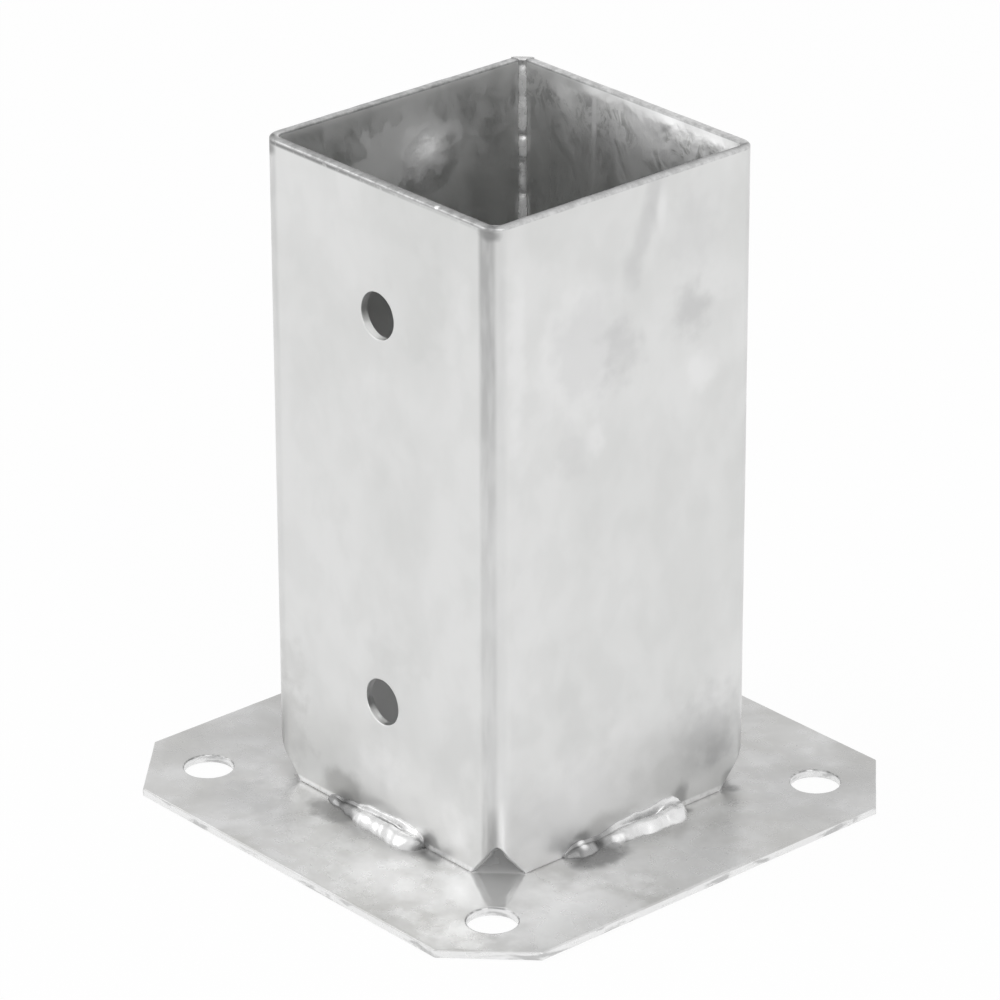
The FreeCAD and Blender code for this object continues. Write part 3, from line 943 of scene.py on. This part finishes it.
    # folds: painted reflection, a dark band on one side, darkest under the rim and at the notch, a paler grey one on
    # the other
    drawn = position(tree, (0.5, 0.5, 0.09))
    vary = fit(tree, noise_out(tree, drawn, 0.9, 2.0, 0.5), 0.32, 0.66, 0.60, 1.0)
    along = calc(tree, "MAXIMUM", fit(tree, depth, 6.0, 88.0, 0.72, 0.30), fit(tree, z, 30.0, 9.0, 0.0, 0.72))
    strip = calc(tree, "MULTIPLY", calc(tree, "MULTIPLY", zones.outputs["Fold"], outside), calc(tree, "MULTIPLY", vary, along))
    fold_dark_reflection = calc(tree, "MULTIPLY", strip, calc(tree, "SUBTRACT", 1.0, zones.outputs["Far Side"]))
    fold_dark_reflection = calc(tree, "MULTIPLY", fold_dark_reflection, fit(tree, x, -20.0, 0.0, 0.40, 1.0))
    # painted reflection: dark grey on one side of each fold
    colour = blend_colour(tree, fold_dark_reflection, colour, grey(0.34))
    # painted reflection: paler grey on the other side of each fold
    fold_pale_reflection = calc(tree, "MULTIPLY", strip, zones.outputs["Far Side"])
    colour = blend_colour(tree, calc(tree, "MULTIPLY", fold_pale_reflection, 0.6), colour, grey(0.58))
    # inner walls: painted shade darkens them, painted light brightens them low down and just under the rim; ragged
    # light runs under the rim, one pale blotch
    # painted shade: the inner walls are mixed towards dull zinc
    colour = blend_colour(tree, calc(tree, "MULTIPLY", inside, 0.45), colour, dull)
    # painted light: the lower inner walls, seen through the cross holes, are painted lighter
    deep = calc(tree, "MULTIPLY", inside, fit(tree, depth, 46.0, 60.0, 0.0, 0.8))
    colour = blend_colour(tree, deep, colour, grey(0.86))
    feathers = use(tree, "Drain Feathers", {"Depth": depth, "Length": 34.0, "Lean": 0.5, "Seed": f.seed + 1.7})
    runs = feathers.outputs["Mask"]
    spots = []
    for centre, reach, ragged, softness, strength in (
        ((-35.0, 2.0, 138.5), (4.0, 15.0, 9.0), 0.95, 0.22, 0.46),
        ((-35.0, 4.5, 148.0), (4.0, 6.5, 9.0), 1.1, 0.45, 0.38),
        ((-35.0, -10.0, 135.5), (4.0, 7.0, 6.0), 1.0, 0.25, 0.42),
        ((-35.0, 7.5, 138.0), (4.0, 9.5, 7.0), 0.9, 0.45, 0.66),
        ((-35.0, 8.3, 138.2), (4.0, 5.0, 4.6), 0.4, 0.95, 1.00),
        ((-35.0, 10.5, 134.6), (4.0, 5.0, 3.0), 0.6, 0.90, 0.75),
        ((-11.9, 35.0, 146.0), (1.3, 4.0, 14.0), 0.4, 0.8, 0.90),
        ((4.5, 35.0, 146.0), (7.5, 4.0, 8.0), 0.8, 0.5, 0.85),
        ((1.0, 35.0, 138.5), (6.0, 4.0, 6.0), 1.2, 0.7, 0.55),
        ((-22.5, 35.0, 149.5), (5.0, 4.0, 4.5), 1.0, 0.6, 0.80),
    ):
        spots.append(calc(tree, "MULTIPLY", spot_mask(tree, centre, reach, ragged, softness), strength))
    back = fit(tree, y, 34.0, 34.8)
    pale = calc(tree, "MULTIPLY", runs, calc(tree, "MAXIMUM", calc(tree, "MULTIPLY", back, fit(tree, x, -30.0, 12.0, 0.42, 1.0)), 0.22))
    for spot in spots:
        pale = calc(tree, "MAXIMUM", pale, spot)
    # painted light: bands just under the rim on the inner walls, merged with the pale matt flux patches
    rim_light_left = calc(tree, "MULTIPLY", fit(tree, depth, 3.2, 0.2, 0.0, 0.55), fit(tree, y, 31.0, 22.0, 0.3, 1.0))
    rim_light_back = calc(tree, "MULTIPLY", fit(tree, depth, 6.5, 0.8), fit(tree, x, -30.0, -6.0, 0.5, 0.95))
    rim_light_back = calc(tree, "MULTIPLY", rim_light_back, back)
    pale = calc(tree, "MAXIMUM", pale, calc(tree, "MAXIMUM", rim_light_left, rim_light_back))
    pale = calc(tree, "MULTIPLY", pale, inside)
    veins = calc(tree, "MULTIPLY", calc(tree, "SUBTRACT", 1.0, runs), fit(tree, depth, 15.0, 3.0, 0.0, 0.60))
    veins = calc(tree, "MULTIPLY", calc(tree, "MULTIPLY", veins, back), calc(tree, "MULTIPLY", inside, fit(tree, depth, 0.6, 2.0)))
    colour = blend_colour(tree, veins, colour, grey(0.36))
    # pale matt flux patches, with painted light in the bands under the rim
    colour = blend_colour(tree, pale, colour, grey(0.80))
    matt = fit(tree, back, 0.0, 1.0, 0.67, 0.30, smooth=False)
    metallic = calc(tree, "SUBTRACT", 0.92, calc(tree, "MULTIPLY", pale, matt))
    tree.links.new(metallic, shader.inputs["Metallic"])
    # rim: its cut top is dull and uneven, lighter on the right and back rims; on the near rims painted shade darkens it
    # towards the inner edge, and a painted dark line of shade runs under its front edge
    speck = noise_out(tree, where, 0.55, 4.0, 0.65)
    top = calc(tree, "MULTIPLY", fit(tree, depth, 0.80, 0.50), 0.94)
    to_right, to_front = fit(tree, x, 34.5, 35.5), fit(tree, y, -34.5, -35.5)
    shade = calc(tree, "ADD", fit(tree, y, 34.5, 35.5, 0.38, 0.53), calc(tree, "MULTIPLY", to_right, 0.19))
    shade = calc(tree, "ADD", shade, calc(tree, "MULTIPLY", to_front, 0.03))
    shade = calc(tree, "ADD", shade, fit(tree, speck, 0.30, 0.70, -0.10, 0.12))
    # painted shade: darker towards the inner edge on the front and right rims
    inner_edge_shade = fit(tree, zones.outputs["Across"], 0.0, 1.9, 0.22, 1.0, smooth=False)
    inner_edge_shade = calc(tree, "MAXIMUM", inner_edge_shade, calc(tree, "SUBTRACT", 1.0, calc(tree, "MAXIMUM", to_right, to_front)))
    near = calc(tree, "MULTIPLY", shade, inner_edge_shade)
    shade = add(tree, "ShaderNodeCombineColor", {0: near, 1: near, 2: near}).outputs[0]
    colour = blend_colour(tree, top, colour, shade)
    # painted shade: a dark line under the front rim's outer edge
    front = calc(tree, "MULTIPLY", fit(tree, y, -36.0, -36.6), fit(tree, x, 20.0, -16.0, 0.25, 1.0))
    line = calc(tree, "MULTIPLY", fit(tree, depth, 1.6, 1.0), fit(tree, depth, 0.50, 0.72))
    line = calc(tree, "MULTIPLY", line, fit(tree, speck, 0.34, 0.52, 0.35, 0.85))
    colour = blend_colour(tree, calc(tree, "MULTIPLY", line, front), colour, grey(0.20))
    # the two dark marks are painted shade under the rim at the ends of the front face
    colour = spotted(tree, colour, (
        ((-36.5, -36.5, 149.8), (5.0, 4.0, 2.6), 0.4, 0.7, 0.80, grey(0.20)),
        ((35.0, -36.5, 150.4), (3.6, 3.0, 1.8), 0.5, 0.7, 0.70, grey(0.24)),
        ((-33.4, -33.4, 152.0), (2.6, 2.6, 0.8), 0.5, 0.7, 0.75, grey(0.80)),
        ((19.0, -36.6, 151.9), (0.9, 0.8, 0.7), 0.3, 0.8, 0.90, grey(0.95)),
        ((-33.4, 31.0, 152.0), (3.0, 3.0, 1.5), 0.5, 0.7, 0.80, grey(0.90)),
    ))
    # foot: a painted highlight along its thin edge, broken along its length
    foot = calc(tree, "MULTIPLY", fit(tree, z, 3.7, 3.1), fit(tree, speck, 0.36, 0.52, 0.35, 1.0))
    foot = calc(tree, "MULTIPLY", foot, outside)
    colour = blend_colour(tree, foot, colour, grey(0.95))
    rough = fit(tree, clouds.outputs["Patch"], 0.0, 1.0, 0.28, 0.38)
    skin = use(tree, "Zinc Skin", {"Wave": 1.0, "Peel": 0.06, "Grain": 0.004})
    # zinc builds up below the far rim, thickest at its near end, and in the blotch, and catches the light
    wander = fit(tree, noise_out(tree, position(tree, (1.0, 1.0, 0.6)), 0.075, 5.0, 0.42, 0.5), 0.3, 0.7, -2.4, 2.4, smooth=False)
    wander = calc(tree, "MULTIPLY", wander, fit(tree, depth, 0.3, 3.0))
    left_over = fit(tree, calc(tree, "ADD", depth, wander), 0.0, 13.0, 1.0, 0.0, smooth=False)
    build = calc(tree, "SUBTRACT", 1.0, calc(tree, "MULTIPLY", left_over, left_over))
    build = calc(tree, "MULTIPLY", build, fit(tree, x, -26.0, 6.0, 2.0, 16.0, smooth=False))
    matted = calc(tree, "MULTIPLY", calc(tree, "MULTIPLY", back, inside), fit(tree, depth, 14.0, 5.0, 0.0, 0.14))
    rough = calc(tree, "ADD", rough, matted)
    build = calc(tree, "MULTIPLY", build, back)
    bulge = spot_mask(tree, (-35.0, 8.4, 134.8), (4.0, 8.5, 8.0), 0.1, 1.0)
    build = calc(tree, "ADD", build, calc(tree, "MULTIPLY", bulge, 11.0))
    height = calc(tree, "ADD", skin.outputs["Height"], calc(tree, "MULTIPLY", build, inside))
    finish_surface(tree, shader, colour, rough, height, 1.0, 0.00015)
    return material


def plate_material():
    """Galvanised ground plate."""
    f = finish_settings()
    p = plate_settings()
    material, tree, shader = start_material("plate_zinc", 0.6)
    clouds = use(tree, "Zinc Clouds", {"Size": 17.0, "Stretch": 1.0, "Seed": f.seed + 4.0})
    colour = blend_colour(tree, clouds.outputs["Cloud"], grey(0.66), grey(0.52, 0.012))
    colour = blend_colour(tree, calc(tree, "MULTIPLY", clouds.outputs["Patch"], 0.35), colour, grey(0.50, 0.02))
    where = position(tree)
    axes = add(tree, "ShaderNodeSeparateXYZ", {0: where})
    x, y, z = axes.outputs[0], axes.outputs[1], axes.outputs[2]
    colour = spotted(tree, colour, (
        # light patches at the front corner and along the front side
        ((46.0, -56.0, 2.0), (12.0, 7.0, 4.0), 0.9, 0.9, 0.75, grey(0.86)),
        ((20.0, -52.0, 2.0), (25.0, 12.0, 4.0), 0.8, 0.9, 0.6, grey(0.77)),
        ((55.0, -32.0, 2.0), (18.0, 26.0, 4.0), 0.6, 0.9, 0.80, grey(0.86)),
        ((54.0, -2.0, 2.0), (16.0, 22.0, 4.0), 0.6, 0.9, 0.50, grey(0.74)),
        ((-52.0, -25.0, 2.0), (30.0, 36.0, 4.0), 0.6, 0.9, 0.45, grey(0.46)),
        ((-28.0, -51.0, 2.0), (18.0, 10.0, 4.0), 0.7, 0.9, 0.55, grey(0.46)),
        ((60.0, -30.0, 2.0), (9.0, 16.0, 4.0), 0.7, 0.9, 0.40, grey(0.56)),
        ((50.0, 46.0, 2.0), (26.0, 30.0, 4.0), 0.6, 0.9, 0.45, grey(0.44)),
        # burnt rings round the two ends of the front bead and the start of the right bead
        ((-12.6, -40.0, 2.0), (9.5, 5.6, 4.0), 0.45, 0.5, 0.82, grey(0.24, 0.01)),
        ((0.0, -42.6, 2.0), (16.0, 3.2, 4.0), 0.5, 0.9, 0.50, grey(0.36)),
        ((17.4, -38.4, 2.0), (5.4, 3.0, 3.0), 0.3, 0.7, 0.80, grey(0.20)),
        ((42.0, -11.5, 2.0), (5.4, 9.0, 3.0), 0.4, 0.5, 0.80, grey(0.20)),
        ((41.5, 4.0, 2.0), (4.0, 12.0, 3.0), 0.6, 0.9, 0.40, grey(0.34)),
        ((38.5, 16.8, 2.0), (2.6, 2.2, 3.0), 0.5, 0.7, 0.80, grey(0.20)),
        ((38.0, 31.5, 2.0), (2.0, 2.0, 3.0), 0.5, 0.7, 0.60, grey(0.24)),
    ))
    # dull lime-like zinc inside the sleeve, seen through the notches, and a clean line across each notch
    half = SLEEVE_OUTER / 2
    ax, ay = calc(tree, "ABSOLUTE", x), calc(tree, "ABSOLUTE", y)
    chord = calc(tree, "ADD", ax, ay)
    near = calc(tree, "MULTIPLY", fit(tree, calc(tree, "MAXIMUM", ax, ay), half + 0.1, half - 0.4),
                fit(tree, chord, 2 * half - 8.2, 2 * half - 8.8))
    colour = blend_colour(tree, near, colour, grey(0.78))
    # painted light: the plate just outside the front notch is painted lighter, where the sleeve shades it
    mirror = spot_mask(tree, (38.0, -38.0, 2.0), (12.5, 12.5, 4.0), 0.1, 0.5)
    painted_light_kite = calc(tree, "MULTIPLY", mirror, calc(tree, "SUBTRACT", 1.0, near))
    colour = blend_colour(tree, calc(tree, "MULTIPLY", painted_light_kite, 0.6), colour, grey(0.78))
    metal = calc(tree, "SUBTRACT", 0.6, calc(tree, "MULTIPLY", near, 0.5))
    metal = calc(tree, "SUBTRACT", metal, calc(tree, "MULTIPLY", painted_light_kite, 0.15))
    tree.links.new(metal, shader.inputs["Metallic"])
    line = calc(tree, "MULTIPLY", fit(tree, chord, 2 * half - 8.9, 2 * half - 8.6),
                fit(tree, chord, 2 * half - 7.6, 2 * half - 8.1))
    line = calc(tree, "MULTIPLY", line, fit(tree, calc(tree, "MAXIMUM", ax, ay), half + 0.6, half))
    colour = blend_colour(tree, calc(tree, "MULTIPLY", line, 0.7), colour, grey(0.95))
    # painted shade: the anchor holes' walls are painted dark, mottled by noise
    ring = use(tree, "Hole Ring", {"Reach": p.hole_spacing / 2, "Radius": p.hole_radius + 0.1, "Width": 0.3})
    ragged_shade = fit(tree, noise_out(tree, where, 0.5, 3.0, 0.6), 0.42, 0.60)
    wall = blend_colour(tree, ragged_shade, grey(0.62), grey(0.26))
    colour = blend_colour(tree, calc(tree, "MULTIPLY", ring.outputs["Mask"], 0.85), colour, wall)
    # sheared sides: dull zinc with painted highlights on bright tear marks and a clean upper edge
    side = fit(tree, z, 1.80, 1.55)
    flat = position(tree, (1.0, 1.0, 4.0))
    tear_glints = fit(tree, noise_out(tree, flat, 0.10, 4.0, 0.60, 0.4), 0.36, 0.50)
    bright = blend_colour(tree, tear_glints, grey(0.56), grey(0.93))
    colour = blend_colour(tree, calc(tree, "MULTIPLY", side, 0.85), colour, bright)
    rough = fit(tree, clouds.outputs["Patch"], 0.0, 1.0, 0.25, 0.32)
    rough = calc(tree, "SUBTRACT", rough, calc(tree, "MULTIPLY", mirror, 0.17))
    skin = use(tree, "Zinc Skin", {"Wave": 0.7, "Peel": 0.02, "Grain": 0.002})
    finish_surface(tree, shader, colour, rough, skin.outputs["Height"], 0.3, 0.0005)
    return material


def weld_material():
    """Zinc over weld metal."""
    f = finish_settings()
    material, tree, shader = start_material("weld_zinc", 0.9)
    clouds = use(tree, "Zinc Clouds", {"Size": 7.0, "Stretch": 1.0, "Seed": f.seed + 9.0})
    colour = blend_colour(tree, clouds.outputs["Cloud"], grey(0.84), grey(0.66))
    colour = spotted(tree, colour, (
        # front bead: dull start with a pit, dark groove, burnt end
        ((-14.0, -39.0, 3.5), (9.5, 7.0, 7.0), 0.5, 0.4, 0.90, grey(0.24)),
        ((-13.0, -38.0, 4.0), (2.6, 2.6, 2.6), 0.3, 0.7, 0.90, grey(0.08)),
        ((3.5, -38.1, 4.55), (8.0, 0.65, 0.9), 0.4, 0.8, 0.75, grey(0.28)),
        ((13.8, -38.5, 3.0), (2.0, 4.4, 4.4), 0.3, 0.7, 0.85, grey(0.16)),
        # right bead: dull start with a pit and a dark toe, dark groove, dark end
        ((39.0, -13.5, 3.5), (7.0, 12.5, 7.0), 0.4, 0.4, 0.88, grey(0.30)),
        ((39.0, -16.4, 3.0), (5.0, 3.0, 4.0), 0.3, 0.7, 0.70, grey(0.12)),
        ((39.0, -8.6, 3.4), (3.0, 2.4, 2.8), 0.3, 0.7, 0.94, grey(0.08)),
        ((38.4, -13.2, 4.4), (2.0, 1.5, 1.9), 0.3, 0.8, 0.90, grey(0.95)),
        ((41.2, -7.0, 2.2), (2.4, 7.0, 1.8), 0.4, 0.7, 0.80, grey(0.14)),
        ((38.1, 2.0, 4.5), (0.7, 6.0, 0.9), 0.5, 0.8, 0.70, grey(0.26)),
        ((38.1, 12.0, 4.8), (0.6, 4.0, 0.7), 0.5, 0.8, 0.55, grey(0.30)),
        ((38.5, 17.0, 3.0), (4.0, 1.2, 3.0), 0.4, 0.7, 0.80, grey(0.22)),
    ))
    # the seam's root inside the sleeve is pale and matt
    axes = add(tree, "ShaderNodeSeparateXYZ", {0: position(tree)})
    diagonal = calc(tree, "SUBTRACT", axes.outputs[1], axes.outputs[0])
    root = calc(tree, "MULTIPLY", fit(tree, diagonal, 68.62, 68.30), fit(tree, diagonal, 60.0, 62.0))
    inner = calc(tree, "MULTIPLY", fit(tree, diagonal, 71.4, 71.0), fit(tree, diagonal, 60.0, 62.0))
    colour = blend_colour(tree, calc(tree, "MULTIPLY", inner, 0.8), colour, grey(0.62))
    colour = blend_colour(tree, calc(tree, "MULTIPLY", root, 0.9), colour, grey(0.85))
    metal = calc(tree, "SUBTRACT", 0.9, calc(tree, "ADD", calc(tree, "MULTIPLY", inner, 0.25), calc(tree, "MULTIPLY", root, 0.35)))
    tree.links.new(metal, shader.inputs["Metallic"])
    rough = fit(tree, clouds.outputs["Patch"], 0.0, 1.0, 0.22, 0.34)
    skin = use(tree, "Zinc Skin", {"Wave": 0.6, "Peel": 0.12, "Grain": 0.01})
    finish_surface(tree, shader, colour, rough, skin.outputs["Height"], 0.4, 0.0005)
    return material


def find_material(name, make):
    """The material if it is there, or a new one."""
    return bpy.data.materials.get(name) or make()


# ---- operators ----------------------------------------------------------------------

class POSTBASE_OT_effects(bpy.types.Operator):
    """Build the shader node groups that the galvanised materials share"""
    bl_idname = "post_base.effects"
    bl_label = "Shared effects"

    def execute(self, context):
        group_zinc_clouds()
        group_spot()
        group_skin()
        group_fold()
        group_feathers()
        group_hole()
        return {"FINISHED"}


class POSTBASE_OT_sleeve(bpy.types.Operator):
    """Build the folded post sleeve"""
    bl_idname = "post_base.sleeve"
    bl_label = "Post sleeve"

    def execute(self, context):
        points, faces = build_sleeve()
        make_piece("sleeve_sheet", points, faces, ["post_sleeve"],
                   find_material("sleeve_zinc", sleeve_material))
        return {"FINISHED"}


class POSTBASE_OT_plate(bpy.types.Operator):
    """Build the ground plate"""
    bl_idname = "post_base.plate"
    bl_label = "Ground plate"

    def execute(self, context):
        points, faces = build_plate()
        make_piece("ground_plate", points, faces, ["base_plate"],
                   find_material("plate_zinc", plate_material))
        return {"FINISHED"}


class POSTBASE_OT_fillets(bpy.types.Operator):
    """Build the four fillet beads"""
    bl_idname = "post_base.fillets"
    bl_label = "Fillet welds"

    def execute(self, context):
        for bead in BEADS:
            points, faces = build_fillet(bead)
            make_piece("bead_" + bead[0], points, faces, ["fillet_weld_" + bead[0]],
                       find_material("weld_zinc", weld_material))
        return {"FINISHED"}


class POSTBASE_OT_seam(bpy.types.Operator):
    """Build the corner seam weld"""
    bl_idname = "post_base.seam"
    bl_label = "Corner seam"

    def execute(self, context):
        points, faces = build_seam()
        make_piece("corner_seam", points, faces, ["seam_weld"],
                   find_material("weld_zinc", weld_material))
        return {"FINISHED"}


class POSTBASE_OT_stage(bpy.types.Operator):
    """Build the pale floor, the soft light and the camera"""
    bl_idname = "post_base.stage"
    bl_label = "Stage"

    def execute(self, context):
        build_floor()
        build_lights()
        build_camera()
        return {"FINISHED"}


def studio_share(tree):
    """1 where a camera, glossy or transmission ray sees a surface directly, else 0."""
    path = add(tree, "ShaderNodeLightPath")
    seen = calc(tree, "MAXIMUM", path.outputs["Is Camera Ray"], path.outputs["Is Glossy Ray"])
    return calc(tree, "MAXIMUM", seen, path.outputs["Is Transmission Ray"])


def build_floor():
    """Large pale floor that stays near white and keeps a faint shadow."""
    s = stage_settings()
    mesh = bpy.data.meshes.new("studio_floor")
    reach = 6.0
    mesh.from_pydata([(-reach, -reach, -0.0002), (reach, -reach, -0.0002), (reach, reach, -0.0002),
                      (-reach, reach, -0.0002)], [], [(0, 1, 2, 3)])
    floor = bpy.data.objects.new("studio_floor", mesh)
    bpy.context.scene.collection.objects.link(floor)
    material = bpy.data.materials.new("studio_floor")
    material.use_nodes = True
    tree = material.node_tree
    tree.nodes.clear()
    matt = add(tree, "ShaderNodeBsdfDiffuse", {"Color": (0.96, 0.96, 0.96, 1)})
    white = add(tree, "ShaderNodeEmission", {"Color": tuple(s.floor_colour), "Strength": 1.0})
    share = calc(tree, "MULTIPLY", studio_share(tree), 0.94)
    mix = add(tree, "ShaderNodeMixShader", {0: share, 1: matt.outputs[0], 2: white.outputs[0]})
    add(tree, "ShaderNodeOutputMaterial", {"Surface": mix.outputs[0]})
    mesh.materials.append(material)


def build_lights():
    """White surroundings and three large soft lamps."""
    world = bpy.data.worlds.new("studio_world")
    bpy.context.scene.world = world
    world.use_nodes = True
    tree = world.node_tree
    tree.nodes.clear()
    seen = studio_share(tree)
    soft = add(tree, "ShaderNodeBackground", {"Color": (1, 1, 1, 1), "Strength": 0.62})
    white = add(tree, "ShaderNodeBackground", {"Color": (1, 1, 1, 1), "Strength": 1.0})
    mix = add(tree, "ShaderNodeMixShader", {0: seen, 1: soft.outputs[0], 2: white.outputs[0]})
    add(tree, "ShaderNodeOutputWorld", {"Surface": mix.outputs[0]})
    for name, place, size, power in (
        ("lamp_left", (-0.9, -1.2, 1.1), 1.2, 5.0),
        ("lamp_right", (1.3, -0.5, 1.0), 1.2, 5.0),
        ("lamp_top", (0.0, 0.0, 1.8), 1.0, 5.0),
    ):
        lamp = bpy.data.lights.new(name, "AREA")
        lamp.size = size
        lamp.energy = power
        obj = bpy.data.objects.new(name, lamp)
        obj.visible_glossy = name != "lamp_top"
        bpy.context.scene.collection.objects.link(obj)
        obj.location = place
        aim = Vector((0, 0, 0.07)) - Vector(place)
        obj.rotation_euler = aim.to_track_quat("-Z", "Y").to_euler()


def build_camera():
    """Long lens on the front corner, a little above the rim."""
    s = stage_settings()
    a, e = s.azimuth, s.elevation
    ahead = Vector((-math.sin(a) * math.cos(e), math.cos(a) * math.cos(e), -math.sin(e)))
    right = Vector((math.cos(a), math.sin(a), 0))
    up = right.cross(ahead)
    tilt = Matrix.Rotation(-s.roll, 3, ahead)
    right, up = tilt @ right, tilt @ up
    target = Vector((0, 0, 0.075))
    data = bpy.data.cameras.new("camera")
    data.lens = s.lens
    data.sensor_width = 36.0
    data.clip_start = 0.05
    data.clip_end = 50.0
    camera = bpy.data.objects.new("camera", data)
    bpy.context.scene.collection.objects.link(camera)
    camera.location = target - ahead * s.distance + right * -0.0022121 + up * -0.0059034
    camera.rotation_mode = "QUATERNION"
    camera.rotation_quaternion = Matrix((right, up, -ahead)).transposed().to_quaternion()
    bpy.context.scene.camera = camera


class POSTBASE_PT_panel(bpy.types.Panel):
    """Sizes, colours and build steps of the post base"""
    bl_idname = "POSTBASE_PT_panel"
    bl_label = "Post Base"
    bl_space_type = "VIEW_3D"
    bl_region_type = "UI"
    bl_category = "Post Base"

    def draw(self, context):
        layout = self.layout
        scene = context.scene
        for group in (scene.post_base_sleeve, scene.post_base_plate, scene.post_base_weld,
                      scene.post_base_finish, scene.post_base_stage):
            box = layout.box()
            for name in group.bl_rna.properties.keys():
                if name not in ("rna_type", "name"):
                    box.prop(group, name)
        for operator in OPERATORS:
            layout.operator(operator.bl_idname)


OPERATORS = (POSTBASE_OT_effects, POSTBASE_OT_plate, POSTBASE_OT_sleeve, POSTBASE_OT_fillets,
             POSTBASE_OT_seam, POSTBASE_OT_stage)
SETTINGS = (
    ("post_base_sleeve", PostBaseSleeveSettings),
    ("post_base_plate", PostBasePlateSettings),
    ("post_base_weld", PostBaseWeldSettings),
    ("post_base_finish", PostBaseFinishSettings),
    ("post_base_stage", PostBaseStageSettings),
)


def register():
    for name, group in SETTINGS:
        bpy.utils.register_class(group)
        setattr(bpy.types.Scene, name, PointerProperty(type=group))
    for operator in OPERATORS:
        bpy.utils.register_class(operator)
    bpy.utils.register_class(POSTBASE_PT_panel)


def unregister():
    bpy.utils.unregister_class(POSTBASE_PT_panel)
    for operator in reversed(OPERATORS):
        bpy.utils.unregister_class(operator)
    for name, group in reversed(SETTINGS):
        delattr(bpy.types.Scene, name)
        bpy.utils.unregister_class(group)


def main():
    register()
    scene = bpy.context.scene
    scene.view_settings.view_transform = "Standard"
    bpy.ops.post_base.effects()
    bpy.ops.post_base.plate()
    bpy.ops.post_base.sleeve()
    bpy.ops.post_base.fillets()
    bpy.ops.post_base.seam()
    bpy.ops.post_base.stage()


if __name__ == "__main__":
    main()
